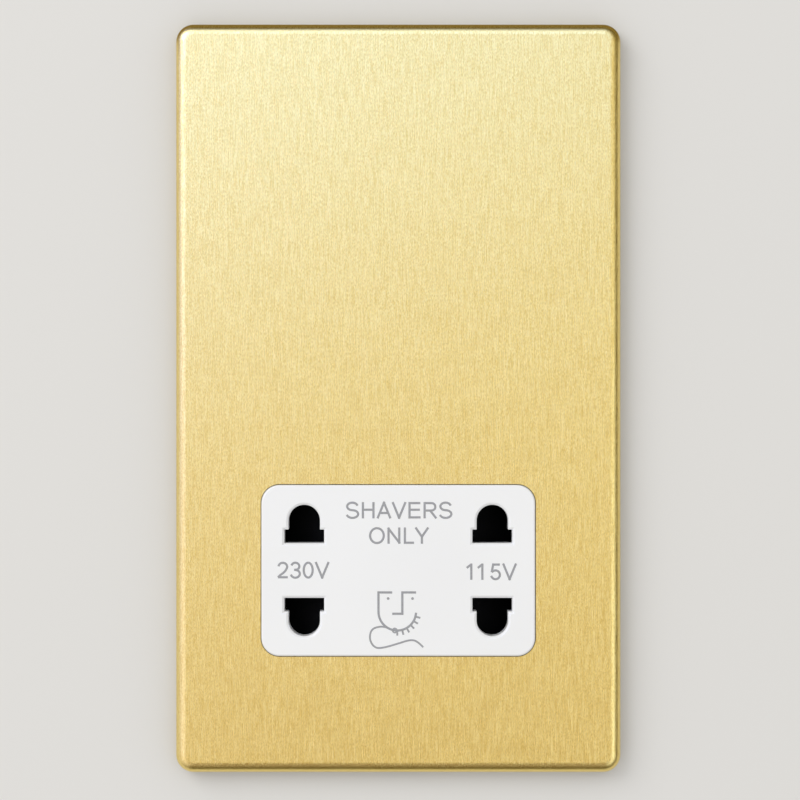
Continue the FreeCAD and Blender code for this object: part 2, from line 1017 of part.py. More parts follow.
def switch_bridge():
    """The bowed leaf that the slider carries across the two fixed strips."""
    half = bridge_strip / 2
    seat = slider_back - bridge_seat + half
    wipe = carrier_front - bridge_wipe - half
    middle = outlet_z + (switch_inner + switch_outer) / 2
    path = []
    for side in (-1, 1):
        toe = middle + side * (switch_outer - switch_inner) / 2
        ends = [
            Vector(0, wipe, toe + side * bridge_toe),
            Vector(0, wipe, toe - side * bridge_toe),
            Vector(0, seat, toe - side * bridge_rise),
        ]
        path += ends if side < 0 else ends[::-1]
    leaf = folded_strip(path, bridge_strip, bridge_strip, Vector(bridge_width, 0, 0))
    hole = stake_side / 2 + thread_gap
    return leaf.cut(block(-hole, hole, seat - half, seat + half, middle - hole, middle + hole))


def runs_along_y(edge):
    return edge.BoundBox.XLength < 1e-4 and edge.BoundBox.ZLength < 1e-4


def at_step(edge):
    return abs(edge.BoundBox.ZMin - step_outside) < 1e-4


def housing_shell():
    """The stepped box of the housing, hollow and open towards the frame."""
    high = block(-housing_outer, housing_outer, frame_back, housing_depth, step_outside, outer_top)
    low = block(-housing_outer, housing_outer, frame_back, low_back, outer_bottom, outer_top)
    outer = joined([high, low])
    upright = [edge for edge in outer.Edges if runs_along_y(edge) and not at_step(edge)]
    outer = outer.makeFillet(housing_corner, upright)
    low_edges = [edge for edge in edges_at(outer, low_back) if not at_step(edge)]
    outer = outer.makeChamfer(housing_corner / 2, edges_at(outer, housing_depth) + low_edges)
    high_room = block(-housing_inner, housing_inner, frame_back, high_inside, step_inside, inner_top)
    low_room = block(-housing_inner, housing_inner, frame_back, low_inside, inner_bottom, inner_top)
    return outer.cut(joined([high_room, low_room]))


def housing_supports():
    """Ribs that carry the core, and pads that press on the contact cover."""
    half = rest_rib / 2
    quarter = core_leg / 4
    x = core_width / 2 - core_leg / 2
    side = core_width / 2 + bracket
    supports = []
    for z in post_heights():
        rest = block(x - quarter, x + quarter, core_back, high_inside, z - half, z + half)
        guide = block(side, housing_inner, core_front, high_inside, z - half, z + half)
        supports += left_and_right(rest) + left_and_right(guide)
    foot_x = core_width / 4
    foot_front = core_back - foot_reach
    foot = block(foot_x - half, foot_x + half, foot_front, high_inside, step_inside, core_bottom)
    supports += left_and_right(foot)
    pad_z = outlet_z + slider_half
    pad_x = carrier_half - cover_pad / 2
    pad = block(pad_x - cover_pad, pad_x, cover_back, low_inside, pad_z - 1.5 * cover_pad, pad_z)
    return supports + at_four_corners(pad)


def housing_ears():
    """The four ears that are screwed to the frame's bosses."""
    ears = []
    for x, z in ear_places():
        wall = outer_top - housing_wall if z > 0 else outer_bottom + housing_wall
        tip = z + ear_half if z > 0 else z - ear_half
        low, high = sorted((wall, tip))
        ear = block(x - ear_half, x + ear_half, boss_back, ear_back, low, high)
        outer_edges = [
            edge
            for edge in ear.Edges
            if edge.BoundBox.YLength > ear_depth / 2 and abs(edge.BoundBox.ZMin - tip) < 1e-4
        ]
        ears.append(ear.makeChamfer(ear_half / 2, outer_edges))
    return ears


def flange_room():
    """The mouth of the housing leaves the flange of the insert free."""
    side = insert_width / 2 + flange_side + housing_end_gap
    top = outlet_z + insert_height / 2 + flange_end + housing_end_gap
    return block(-side, side, frame_back, flange_back + slider_gap, inner_bottom, top)


def housing_vents():
    """Slots over the coil in the back, and beside the core in both sides."""
    middle = (core_bottom + core_top) / 2
    slots = []
    first = -vent_pitch * (vent_count - 1) / 2
    for index in range(vent_count):
        x = first + index * vent_pitch
        slots.append(
            block(
                x - vent_width / 2,
                x + vent_width / 2,
                high_inside,
                housing_depth,
                middle - vent_length / 2,
                middle + vent_length / 2,
            )
        )
    for step in (-1, 0, 1):
        z = middle + step * vent_pitch
        side = block(
            housing_inner,
            housing_outer,
            core_front,
            core_back,
            z - vent_width / 2,
            z + vent_width / 2,
        )
        slots += left_and_right(side)
    return slots


def rear_housing():
    holes = hook_ways() + [flange_room()]
    for x, z in ear_places():
        holes.append(rod(x, z, boss_back, ear_back, housing_screw_radius + screw_gap))
    for x in (-terminal_pitch, 0.0):
        holes.append(terminal_tail(x, low_inside, low_back, contact_fit))
    body = joined([housing_shell()] + housing_supports() + housing_ears())
    return body.cut(holes + housing_vents())


def housing_screws():
    screws = []
    for x, z in ear_places():
        head = rod(x, z, ear_back, ear_back + housing_head, housing_head_radius)
        shank = rod(x, z, ear_back - ear_depth - housing_thread, ear_back, housing_screw_radius)
        screws.append(head.fuse(shank))
    return Part.makeCompound(screws)


def transformer_core():
    half = core_width / 2
    body = block(-half, half, core_front, core_back, core_bottom, core_top)
    corners = [edge for edge in body.Edges if edge.BoundBox.YLength > core_stack / 2]
    body = body.makeChamfer(core_bevel, corners)
    window = block(core_leg, 2 * core_leg, core_front, core_back, window_bottom, window_top)
    return body.cut(left_and_right(window))


def core_bracket():
    side = core_width / 2 + bracket / 2
    top = core_top + bracket / 2
    low = core_bottom - bracket / 2
    path = [
        Vector(bracket_tab - side, core_mid, low),
        Vector(-side, core_mid, low),
        Vector(-side, core_mid, top),
        Vector(side, core_mid, top),
        Vector(side, core_mid, low),
        Vector(side - bracket_tab, core_mid, low),
    ]
    return folded_strip(path, bracket, core_bevel, Vector(0, core_stack, 0))


def bobbin_floor():
    return window_bottom + bobbin_gap / 2


def bobbin_roof():
    return window_top - bobbin_gap / 2


def bobbin_middle():
    return (bobbin_floor() + bobbin_roof()) / 2


def around_leg(half_x, half_y, z0, z1):
    return block(-half_x, half_x, core_mid - half_y, core_mid + half_y, z0, z1)


def bobbin():
    tube_x = core_leg + bobbin_gap + bobbin_wall
    tube_y = core_stack / 2 + bobbin_gap + bobbin_wall
    flange_x = 2 * core_leg - bobbin_gap
    parts = [around_leg(tube_x, tube_y, bobbin_floor(), bobbin_roof())]
    levels = [
        bobbin_floor(),
        bobbin_middle() - bobbin_flange / 2,
        bobbin_roof() - bobbin_flange,
    ]
    for z in levels:
        parts.append(around_leg(flange_x, flange_depth / 2, z, z + bobbin_flange))
    front = core_mid - flange_depth / 2
    rail_low = bobbin_floor() - pin_rail_height
    parts.append(block(-flange_x, flange_x, front, front + pin_rail, rail_low, bobbin_floor()))
    leg_way = around_leg(
        core_leg + bobbin_gap, core_stack / 2 + bobbin_gap, bobbin_floor(), bobbin_roof()
    )
    return joined(parts).cut([leg_way] + pin_bars())


def pin_bars():
    """The square terminal pins, pressed up into the bobbin's rail."""
    top = bobbin_floor() - pin_rail_height + pin_depth
    y = pin_line()
    bars = []
    for index in range(pin_count):
        x = pin_start + index * pin_pitch
        bars.append(
            block(
                x - pin_side / 2,
                x + pin_side / 2,
                y - pin_side / 2,
                y + pin_side / 2,
                top - pin_length,
                top,
            )
        )
    return bars


def pin_line():
    return core_mid - flange_depth / 2 + pin_rail / 2


def pin_tip():
    return bobbin_floor() - pin_rail_height + pin_depth - pin_length


def bobbin_pins():
    return Part.makeCompound(pin_bars())


def winding(z0, z1, inset, corner):
    """A coil of wire on the bobbin, as one band with eased corners."""
    half_x = 2 * core_leg - bobbin_gap - inset
    half_y = flange_depth / 2 - inset
    tube_x = core_leg + bobbin_gap + bobbin_wall
    tube_y = core_stack / 2 + bobbin_gap + bobbin_wall
    body = around_leg(half_x, half_y, z0, z1)
    corners = [edge for edge in body.Edges if edge.BoundBox.ZLength > (z1 - z0) / 2]
    body = body.makeChamfer(corner, corners)
    return body.cut(around_leg(tube_x, tube_y, z0, z1))


def lower_chamber():
    return bobbin_floor() + bobbin_flange, bobbin_middle() - bobbin_flange / 2


def upper_chamber():
    return bobbin_middle() + bobbin_flange / 2, bobbin_roof() - bobbin_flange


def primary_winding():
    return winding(*lower_chamber(), winding_inset, winding_corner)


def secondary_winding():
    return winding(*upper_chamber(), winding_inset, winding_corner)


def tape_band(chamber):
    z0, z1 = chamber
    inset = winding_inset - tape_gap
    outer = winding(z0 + tape_inset, z1 - tape_inset, inset - tape, winding_corner + tape / 2)
    half_x = 2 * core_leg - bobbin_gap - inset
    half_y = flange_depth / 2 - inset
    room = around_leg(half_x, half_y, z0, z1)
    corners = [edge for edge in room.Edges if edge.BoundBox.ZLength > (z1 - z0) / 2]
    return outer.cut(room.makeChamfer(winding_corner, corners))


def primary_tape():
    return tape_band(lower_chamber())


def secondary_tape():
    return tape_band(upper_chamber())


def thermal_cutout():
    z0, z1 = lower_chamber()
    front = core_mid - flange_depth / 2 + winding_inset - tape - tape_gap
    centre = Vector(-cutout_length / 2, front - cutout_radius - tape_gap, (z0 + z1) / 2)
    body = Part.makeCylinder(cutout_radius, cutout_length, centre, Vector(1, 0, 0))
    reach = cutout_length / 2 + cutout_wire_length
    half = cutout_wire / 2
    wire = block(-reach, reach, centre.y - half, centre.y + half, centre.z - half, centre.z + half)
    return body.fuse(wire)


def cage_floor():
    return low_back + block_base


def wire_axis_y():
    return cage_floor() + wire_floor + wire_hole / 2


def cage_back():
    return cage_floor() + terminal_height


def terminal_tail(x, front, back, room):
    half = terminal_tail_width / 2 + room
    z0 = terminal_tail_z - tail_strip / 2 - room
    z1 = terminal_tail_z + tail_strip / 2 + room
    return block(x - half, x + half, front, back, z0, z1)


def terminal(x):
    """A brass pillar: the wire goes in from below, the screw from behind."""
    top = terminal_z + terminal_length
    body = block(
        x - terminal_width / 2, x + terminal_width / 2, cage_floor(), cage_back(), terminal_z, top
    )
    corners = [edge for edge in body.Edges if edge.BoundBox.ZLength > terminal_length / 2]
    body = body.makeChamfer(wire_floor / 3, corners)
    wire_way = Part.makeCylinder(
        wire_hole / 2, wire_depth, Vector(x, wire_axis_y(), terminal_z), Vector(0, 0, 1)
    )
    middle = terminal_z + terminal_length / 2
    thread = rod(x, middle, wire_axis_y(), cage_back(), terminal_screw_radius + thread_gap)
    return body.cut([wire_way, thread])


def terminal_with_tail(x):
    return joined([terminal(x), terminal_tail(x, lead_y - lead_radius, cage_floor(), 0.0)])


def terminal_live():
    return terminal_with_tail(-terminal_pitch)


def terminal_neutral():
    return terminal_with_tail(0.0)


def earth_foot(room):
    """The square foot of the earth pillar that stands on the strap."""
    half = earth_foot_side / 2 + room
    return block(
        terminal_pitch - half,
        terminal_pitch + half,
        low_back + strap_strip,
        cage_floor(),
        terminal_tail_z - half,
        terminal_tail_z + half,
    )


def terminal_earth():
    return joined([terminal(terminal_pitch), earth_foot(0.0)])


def terminal_screws():
    screws = []
    z = terminal_z + terminal_length / 2
    for x in (-terminal_pitch, 0.0, terminal_pitch):
        seat = cage_back() + terminal_screw_gap
        tip = wire_axis_y() + wire_hole / 2 + terminal_screw_gap
        head = rod(x, z, seat, seat + terminal_head, terminal_head_radius)
        shank = rod(x, z, tip, seat, terminal_screw_radius)
        slot = block(
            x - terminal_head_radius,
            x + terminal_head_radius,
            seat + terminal_head / 2,
            seat + terminal_head,
            z - terminal_slot / 2,
            z + terminal_slot / 2,
        )
        screws.append(head.fuse(shank).cut(slot))
    return Part.makeCompound(screws)


def block_end():
    return terminal_pitch + terminal_width / 2 + block_fit + block_wall


def block_hooks():
    """Two hooks at the ends of the block that snap through the housing's back."""
    tip = low_inside - hook_length
    end = block_end()
    arm = block(end - hook_strip, end, tip, low_back, hook_low(), hook_low() + hook_width)
    barb = Part.makePolygon(
        [
            Vector(end, low_inside, hook_low()),
            Vector(end + hook_reach, low_inside, hook_low()),
            Vector(end, tip, hook_low()),
            Vector(end, low_inside, hook_low()),
        ]
    )
    hook = joined([arm, Part.Face(barb).extrude(Vector(0, 0, hook_width))])
    return left_and_right(hook)


def hook_low():
    return terminal_z + (terminal_length - hook_width) / 2


def hook_ways():
    """Slots for the block's hooks, with play for them to bend inwards."""
    end = block_end()
    way = block(
        end - hook_strip - hook_reach,
        end + block_fit,
        low_inside,
        low_back,
        hook_low() - block_fit,
        hook_low() + hook_width + block_fit,
    )
    return left_and_right(way)


def terminal_block():
    """The moulding that holds the three pillars apart, open below and behind."""
    half = block_end()
    top = terminal_z + terminal_length + block_fit + block_wall
    body = block(-half, half, low_back, cage_back(), terminal_z, top)
    body = joined([body] + block_hooks())
    removed = []
    for x in (-terminal_pitch, 0.0, terminal_pitch):
        room = terminal_width / 2 + block_fit
        removed.append(
            block(
                x - room,
                x + room,
                cage_floor(),
                cage_back(),
                terminal_z,
                terminal_z + terminal_length + block_fit,
            )
        )
    for x in (-terminal_pitch, 0.0):
        removed.append(terminal_tail(x, low_back, cage_floor(), contact_fit))
    removed.append(earth_foot(block_fit))
    removed.append(
        block(
            terminal_pitch - strap_width / 2 - block_fit,
            terminal_pitch + strap_width / 2 + block_fit,
            low_back,
            low_back + strap_strip,
            terminal_z,
            strap_top() + block_fit,
        )
    )
    return body.cut(removed)


def strap_top():
    return terminal_tail_z + strap_width / 2


def earth_strap():
    """From the earth pillar down the housing and forward to the back of the plate."""
    half = strap_strip / 2
    x = terminal_pitch
    under = outer_bottom - half
    path = [
        Vector(x, low_back + half, strap_top()),
        Vector(x, low_back + half, under),
        Vector(x, plate_back + half, under),
        Vector(x, plate_back + half, under - strap_foot),
    ]
    return folded_strip(path, strap_strip, strap_strip, Vector(strap_width, 0, 0))


def pin_x(number):
    return pin_start + number * pin_pitch


def lead_to_pin(x, start, number):
    """A lead up the back of the cover, forward under the core and up to a bobbin pin."""
    pin = pin_x(number)
    path = [
        Vector(x, lead_y, start),
        Vector(x, lead_y, outlet_z + carrier_end + lead_bend),
        Vector(pin, pin_line(), step_inside - lead_radius),
        Vector(pin, pin_line(), pin_tip()),
    ]
    return wire_lead(path)


def lead_230():
    return lead_to_pin(-outlet_x, outlet_z + link_middle() + contact_strip / 2, 0)


def lead_115():
    return lead_to_pin(outlet_x, outlet_z + link_middle() + contact_strip / 2, pin_count - 1)


def lead_neutral():
    return lead_to_pin(0.0, terminal_tail_z + tail_strip / 2, 1)


def lead_switched():
    return lead_to_pin(load_tail_x, outlet_z + switch_inner + switch_width / 2, 3)


def lead_common():
    return lead_to_pin(common_tail_x, outlet_z - link_middle() + contact_strip / 2, 4)


def lead_live():
    start = terminal_tail_z + tail_strip / 2
    end = outlet_z + switch_outer - switch_width / 2
    path = [
        Vector(-terminal_pitch, lead_y, start),
        Vector(-terminal_pitch, lead_y, start + (end - start) / 3),
        Vector(-supply_tail_x, lead_y, end - (end - start) / 3),
        Vector(-supply_tail_x, lead_y, end),
    ]
    return wire_lead(path)


PIECES = {
    "front_plate": front_plate,
    "mounting_frame": mounting_frame,
    "socket_insert": socket_insert,
    "shutter_slider": shutter_slider,
    "shutter_spring_left": lambda: shutter_spring(-1),
    "shutter_spring_right": lambda: shutter_spring(1),
    "contact_carrier": contact_carrier,
    "contact_230": contact_230,
    "contact_115": contact_115,
    "contact_common": contact_common,
    "contact_cover": contact_cover,
    "switch_bridge": switch_bridge,
    "switch_strip_supply": switch_strip_supply,
    "switch_strip_load": switch_strip_load,
    "rear_housing": rear_housing,
    "housing_screws": housing_screws,
    "transformer_core": transformer_core,
    "core_bracket": core_bracket,
    "bobbin": bobbin,
    "bobbin_pins": bobbin_pins,
    "primary_winding": primary_winding,
    "secondary_winding": secondary_winding,
    "primary_tape": primary_tape,
    "secondary_tape": secondary_tape,
    "thermal_cutout": thermal_cutout,
    "terminal_block": terminal_block,
    "terminal_live": terminal_live,
    "terminal_neutral": terminal_neutral,
    "terminal_earth": terminal_earth,
    "terminal_screws": terminal_screws,
    "earth_strap": earth_strap,
    "lead_live": lead_live,
    "lead_neutral": lead_neutral,
    "lead_switched": lead_switched,
    "lead_common": lead_common,
    "lead_230": lead_230,
    "lead_115": lead_115,
}


os.makedirs("parts", exist_ok=True)
for name, make in PIECES.items():
    shape = make()
    shape.exportStep(f"parts/{name}.step")
    print(name, "solids", len(shape.Solids), "valid", shape.isValid(), "volume", round(shape.Volume, 2))
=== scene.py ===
# %% [markdown]
# # A brushed brass shaver socket
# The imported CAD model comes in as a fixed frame. The pieces that show most are then made again
# with smooth folds and soft edges, and every surface gets a finish of its own.

import json
import math

import bpy
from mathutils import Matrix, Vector

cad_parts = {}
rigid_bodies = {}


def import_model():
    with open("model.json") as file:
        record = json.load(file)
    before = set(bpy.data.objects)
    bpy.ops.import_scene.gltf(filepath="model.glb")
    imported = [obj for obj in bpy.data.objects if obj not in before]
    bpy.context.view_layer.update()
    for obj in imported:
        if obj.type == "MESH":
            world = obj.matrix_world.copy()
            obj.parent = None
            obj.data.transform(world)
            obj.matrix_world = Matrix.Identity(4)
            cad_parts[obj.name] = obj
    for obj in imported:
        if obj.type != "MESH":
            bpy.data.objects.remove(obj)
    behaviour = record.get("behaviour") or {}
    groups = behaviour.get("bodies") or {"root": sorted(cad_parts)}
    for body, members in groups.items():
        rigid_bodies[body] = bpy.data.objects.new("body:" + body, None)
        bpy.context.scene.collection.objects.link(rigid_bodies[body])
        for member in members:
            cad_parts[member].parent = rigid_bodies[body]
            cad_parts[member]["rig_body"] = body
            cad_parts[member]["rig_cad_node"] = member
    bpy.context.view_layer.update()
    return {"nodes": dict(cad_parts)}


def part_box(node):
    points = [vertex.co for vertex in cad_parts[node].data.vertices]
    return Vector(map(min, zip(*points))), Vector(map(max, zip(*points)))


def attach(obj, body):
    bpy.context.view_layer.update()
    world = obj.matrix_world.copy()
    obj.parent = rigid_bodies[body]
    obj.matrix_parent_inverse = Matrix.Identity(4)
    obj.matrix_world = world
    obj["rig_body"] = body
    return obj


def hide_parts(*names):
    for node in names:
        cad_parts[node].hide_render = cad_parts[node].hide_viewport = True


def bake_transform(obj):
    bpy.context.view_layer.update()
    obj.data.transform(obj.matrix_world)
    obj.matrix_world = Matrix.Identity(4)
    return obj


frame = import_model()

# %% [markdown]
# ## Sizes
# Everything is measured from the frame, so a new plate size in the CAD moves the looks with it.
# The few values written here are those that the CAD boxes can't give: radii, the sheet, the window
# and the print. A hair is how near two places have to be to count as one.

# %% Measures
mm = 0.001
plate_low, plate_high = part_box("front_plate")
face_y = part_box("socket_insert")[0].y
outlets_below_middle = 33.95 * mm
insert_mid_z = plate_low.z + (plate_high.z - plate_low.z) / 2 - outlets_below_middle
plate_corner = 3.5 * mm
plate_fold = 2.2 * mm
sheet = 1.0 * mm
window_width = 54.3 * mm
window_height = 34.05 * mm
window_corner = 3.75 * mm
corner_steps = 12
lift_notch = (8.0 * mm, 0.9 * mm)
print_depth = 0.02 * mm
hair = 0.001 * mm
around_x = (math.radians(90), 0, 0)
print("plate", [round(side / mm, 2) for side in plate_high - plate_low], "mm")
print("outlet centres at z", round(insert_mid_z / mm, 2), "mm")

# %% [markdown]
# ## Working by hand, in code
# An operator acts on whatever is selected, so each step starts from nothing selected. These
# helpers are the few moves that every piece below repeats: pick an object, pick faces by a rule,
# apply a modifier, and finish with smooth shading that keeps the sharp edges.


# %% Small helpers for selecting and finishing
def take_up_nothing():
    bpy.ops.object.select_all(action="DESELECT")


def take_up(*objects):
    take_up_nothing()
    for item in objects:
        item.select_set(True)
    bpy.context.view_layer.objects.active = objects[0]


def select_faces(piece, rule):
    """Leaves edit mode open with only the faces that the rule picks."""
    bpy.ops.object.mode_set(mode="EDIT")
    bpy.ops.mesh.select_mode(type="FACE")
    bpy.ops.mesh.select_all(action="DESELECT")
    bpy.ops.object.mode_set(mode="OBJECT")
    for face in piece.data.polygons:
        face.select = bool(rule(face))
    bpy.ops.object.mode_set(mode="EDIT")


def select_edges(piece, rule):
    """Leaves edit mode open with only the edges that the rule picks, by their two ends."""
    bpy.ops.object.mode_set(mode="EDIT")
    bpy.ops.mesh.select_mode(type="EDGE")
    bpy.ops.mesh.select_all(action="DESELECT")
    bpy.ops.object.mode_set(mode="OBJECT")
    for edge in piece.data.edges:
        start, end = (piece.data.vertices[index].co for index in edge.vertices)
        edge.select = bool(rule(start, end))
    bpy.ops.object.mode_set(mode="EDIT")


def apply_modifiers(piece):
    take_up(piece)
    for modifier in list(piece.modifiers):
        bpy.ops.object.modifier_apply(modifier=modifier.name)


def settle(piece, angle=35):
    """Puts the place into the mesh and smooths the shading, apart from sharp edges."""
    take_up(piece)
    bpy.ops.object.transform_apply(location=True, rotation=True, scale=True)
    bpy.ops.object.shade_smooth_by_angle(angle=math.radians(angle))
    print(piece.name, len(piece.data.polygons), "faces")


def finish_piece(piece, body, angle=35):
    """Settles a piece, keeps its big faces flat in the shading and lets it ride on its body."""
    settle(piece, angle)
    flats = piece.modifiers.new("flat faces", "WEIGHTED_NORMAL")
    flats.keep_sharp = True
    flats.weight = 100
    apply_modifiers(piece)
    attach(piece, body)


def add_block(name, low, high):
    """A box between two corners, as the start of a piece or of a cutter."""
    take_up_nothing()
    bpy.ops.mesh.primitive_cube_add(size=1, location=(low + high) / 2)
    piece = bpy.context.active_object
    piece.name = name
    piece.scale = high - low
    bpy.ops.object.transform_apply(location=True, rotation=True, scale=True)
    return piece


def round_upright(piece, radius, segments):
    """Rounds the four edges that run along Y."""
    select_edges(piece, lambda a, b: abs(a.x - b.x) < hair and abs(a.z - b.z) < hair)
    bpy.ops.mesh.bevel(offset=radius, segments=segments, affect="EDGES")
    bpy.ops.object.mode_set(mode="OBJECT")


def cut_away(piece, cutter):
    """Takes the cutter's shape out of the piece and deletes the cutter."""
    cut = piece.modifiers.new("cut", "BOOLEAN")
    cut.object = cutter
    cut.solver = "EXACT"
    apply_modifiers(piece)
    bpy.data.objects.remove(cutter)


# %% [markdown]
# ## Shared surface effects
# Three effects turn up in several finishes: long fine streaks from brushing, the tiny mottle of a
# moulding, and a slow cloudy change of tone. Two node groups with named inputs give them, so one
# recipe serves many materials with different values. The groups read Object coordinates, which are
# metres here, so their scales are real sizes.


# %% Node group helpers
def new_group(name, inputs, outputs):
    group = bpy.data.node_groups.new(name, "ShaderNodeTree")
    for label, value in inputs:
        socket = group.interface.new_socket(label, in_out="INPUT", socket_type="NodeSocketFloat")
        socket.default_value = value
    for label in outputs:
        group.interface.new_socket(label, in_out="OUTPUT", socket_type="NodeSocketFloat")
    start = group.nodes.new("NodeGroupInput")
    end = group.nodes.new("NodeGroupOutput")
    return group, start, end


def noise(tree, vector, scale, detail):
    node = tree.nodes.new("ShaderNodeTexNoise")
    node.inputs["Scale"].default_value = scale
    node.inputs["Detail"].default_value = detail
    tree.links.new(vector, node.inputs["Vector"])
    return node.outputs["Fac"]


def arithmetic(tree, operation, first, second):
    node = tree.nodes.new("ShaderNodeMath")
    node.operation = operation
    for socket, value in zip(node.inputs, (first, second)):
        if isinstance(value, (int, float)):
            socket.default_value = value
        else:
            tree.links.new(value, socket)
    return node.outputs[0]


# %% Brushed streaks along Z
def make_brushed():
    """Streaks of a given width and length in millimetres, and a finer set of the same length."""
    inputs = [("Width", 0.2), ("Length", 4.0)]
    group, start, end = new_group("brushed streaks", inputs, ["Streaks", "Fine"])
    place = group.nodes.new("ShaderNodeTexCoord").outputs["Object"]
    across = arithmetic(group, "DIVIDE", 1 / mm, start.outputs["Width"])
    along = arithmetic(group, "DIVIDE", 1 / mm, start.outputs["Length"])
    for label, factor in (("Streaks", 1.0), ("Fine", 2.3)):
        stretch = group.nodes.new("ShaderNodeCombineXYZ")
        wide = arithmetic(group, "MULTIPLY", across, factor)
        group.links.new(wide, stretch.inputs["X"])
        group.links.new(wide, stretch.inputs["Y"])
        group.links.new(along, stretch.inputs["Z"])
        scaled = group.nodes.new("ShaderNodeVectorMath")
        scaled.operation = "MULTIPLY"
        group.links.new(place, scaled.inputs[0])
        group.links.new(stretch.outputs[0], scaled.inputs[1])
        group.links.new(noise(group, scaled.outputs[0], 1.0, 1.0), end.inputs[label])
    return group


brushed_streaks = make_brushed()


# %% Mottle of a moulding, and slow clouds of tone
def make_mottle():
    """A grain of a given size in millimetres, and clouds a few centimetres across."""
    group, start, end = new_group("moulded mottle", [("Grain", 0.35)], ["Grain", "Cloud"])
    place = group.nodes.new("ShaderNodeTexCoord").outputs["Object"]
    scale = arithmetic(group, "DIVIDE", 1 / mm, start.outputs["Grain"])
    grain = group.nodes.new("ShaderNodeTexNoise")
    grain.inputs["Detail"].default_value = 2.0
    group.links.new(place, grain.inputs["Vector"])
    group.links.new(scale, grain.inputs["Scale"])
    group.links.new(grain.outputs["Fac"], end.inputs["Grain"])
    group.links.new(noise(group, place, 30.0, 2.0), end.inputs["Cloud"])
    return group


moulded_mottle = make_mottle()
print("node groups:", brushed_streaks.name, "and", moulded_mottle.name)


# %% [markdown]
# ## Finishes
# A finish starts from one Principled shader with its constants set on the shader itself. Colour is
# varied a little with a colour ramp between two near tones, roughness with a mask of its own, and
# a Bump node raises the grain by hundredths of a millimetre.


# %% A helper for a finish
def new_finish(name, roughness, metallic=0.0):
    material = bpy.data.materials.new(name)
    material.use_nodes = True
    shader = material.node_tree.nodes["Principled BSDF"]
    shader.inputs["Roughness"].default_value = roughness
    shader.inputs["Metallic"].default_value = metallic
    return material, material.node_tree, shader


def place_group(tree, group, **values):
    node = tree.nodes.new("ShaderNodeGroup")
    node.node_tree = group
    for label, value in values.items():
        node.inputs[label].default_value = value
    return node


def tone_between(tree, mask, dark, light, low=0.35, high=0.65):
    ramp = tree.nodes.new("ShaderNodeValToRGB")
    ramp.color_ramp.elements[0].position = low
    ramp.color_ramp.elements[0].color = (*dark, 1.0)
    ramp.color_ramp.elements[1].position = high
    ramp.color_ramp.elements[1].color = (*light, 1.0)
    tree.links.new(mask, ramp.inputs["Fac"])
    return ramp.outputs["Color"]


def level_between(tree, mask, low, high):
    """Turns a mask from 0 to 1 into a value between two levels."""
    node = tree.nodes.new("ShaderNodeMapRange")
    node.inputs["To Min"].default_value = low
    node.inputs["To Max"].default_value = high
    tree.links.new(mask, node.inputs["Value"])
    return node.outputs[0]


def raise_grain(tree, shader, height, strength, distance):
    bump = tree.nodes.new("ShaderNodeBump")
    bump.inputs["Strength"].default_value = strength
    bump.inputs["Distance"].default_value = distance
    tree.links.new(height, bump.inputs["Height"])
    tree.links.new(bump.outputs[0], shader.inputs["Normal"])


# %% [markdown]
# ### Brushed brass
# The plate is sheet brass, brushed straight up and down and lacquered. The brush leaves grooves
# that scatter light sideways, so the streaks drive a bump that is far finer across than along, and
# a small change of roughness. Its colour takes the same streaks mixed with shorter ones, because a
# brush skips and starts again every half millimetre. A picture of scratches could do the same, but
# it would have an edge and a fixed size; noise stretched along Z covers the folds as well.


# %% Brass of the plate
def make_plate_brass():
    material, tree, shader = new_finish("satin brass", 0.26, 1.0)
    streaks = place_group(tree, brushed_streaks, Width=0.11, Length=4.5)
    dashes = place_group(tree, brushed_streaks, Width=0.125, Length=0.5)
    long_marks = arithmetic(tree, "MULTIPLY", streaks.outputs["Streaks"], 0.44)
    short_marks = arithmetic(tree, "MULTIPLY", dashes.outputs["Streaks"], 0.56)
    marks = arithmetic(tree, "ADD", long_marks, short_marks)
    dark = (0.82, 0.605, 0.178)
    light = (0.975, 0.785, 0.29)
    tone = tone_between(tree, marks, dark, light, 0.43, 0.57)
    # Painted shade: diffuse rays see the brass at 0.6 of its colour, so less yellow light bounces
    # from it onto the wall beside the plate.
    seen_by_wall = tree.nodes.new("ShaderNodeLightPath").outputs["Is Diffuse Ray"]
    tone_dimmed_for_bounce = tree.nodes.new("ShaderNodeVectorMath")
    tone_dimmed_for_bounce.operation = "SCALE"
    tree.links.new(tone, tone_dimmed_for_bounce.inputs[0])
    tree.links.new(level_between(tree, seen_by_wall, 1.0, 0.6), tone_dimmed_for_bounce.inputs["Scale"])
    tree.links.new(tone_dimmed_for_bounce.outputs[0], shader.inputs["Base Color"])
    rough = level_between(tree, streaks.outputs["Fine"], 0.2, 0.32)
    tree.links.new(rough, shader.inputs["Roughness"])
    raise_grain(tree, shader, streaks.outputs["Fine"], 0.35, 0.05 * mm)
    return material


satin_brass = make_plate_brass()


# %% Moulded plastics
def make_moulding(name, dark, light, roughness, grain=0.35, depth=0.15, gloss=0.0):
    material, tree, shader = new_finish(name, roughness)
    mottle = place_group(tree, moulded_mottle, Grain=grain)
    tone = tone_between(tree, mottle.outputs["Cloud"], dark, light)
    tree.links.new(tone, shader.inputs["Base Color"])
    rough = level_between(tree, mottle.outputs["Grain"], roughness - 0.05, roughness + 0.05)
    tree.links.new(rough, shader.inputs["Roughness"])
    raise_grain(tree, shader, mottle.outputs["Grain"], depth, 0.03 * mm)
    shader.inputs["Coat Weight"].default_value = gloss
    shader.inputs["Coat Roughness"].default_value = 0.12
    return material


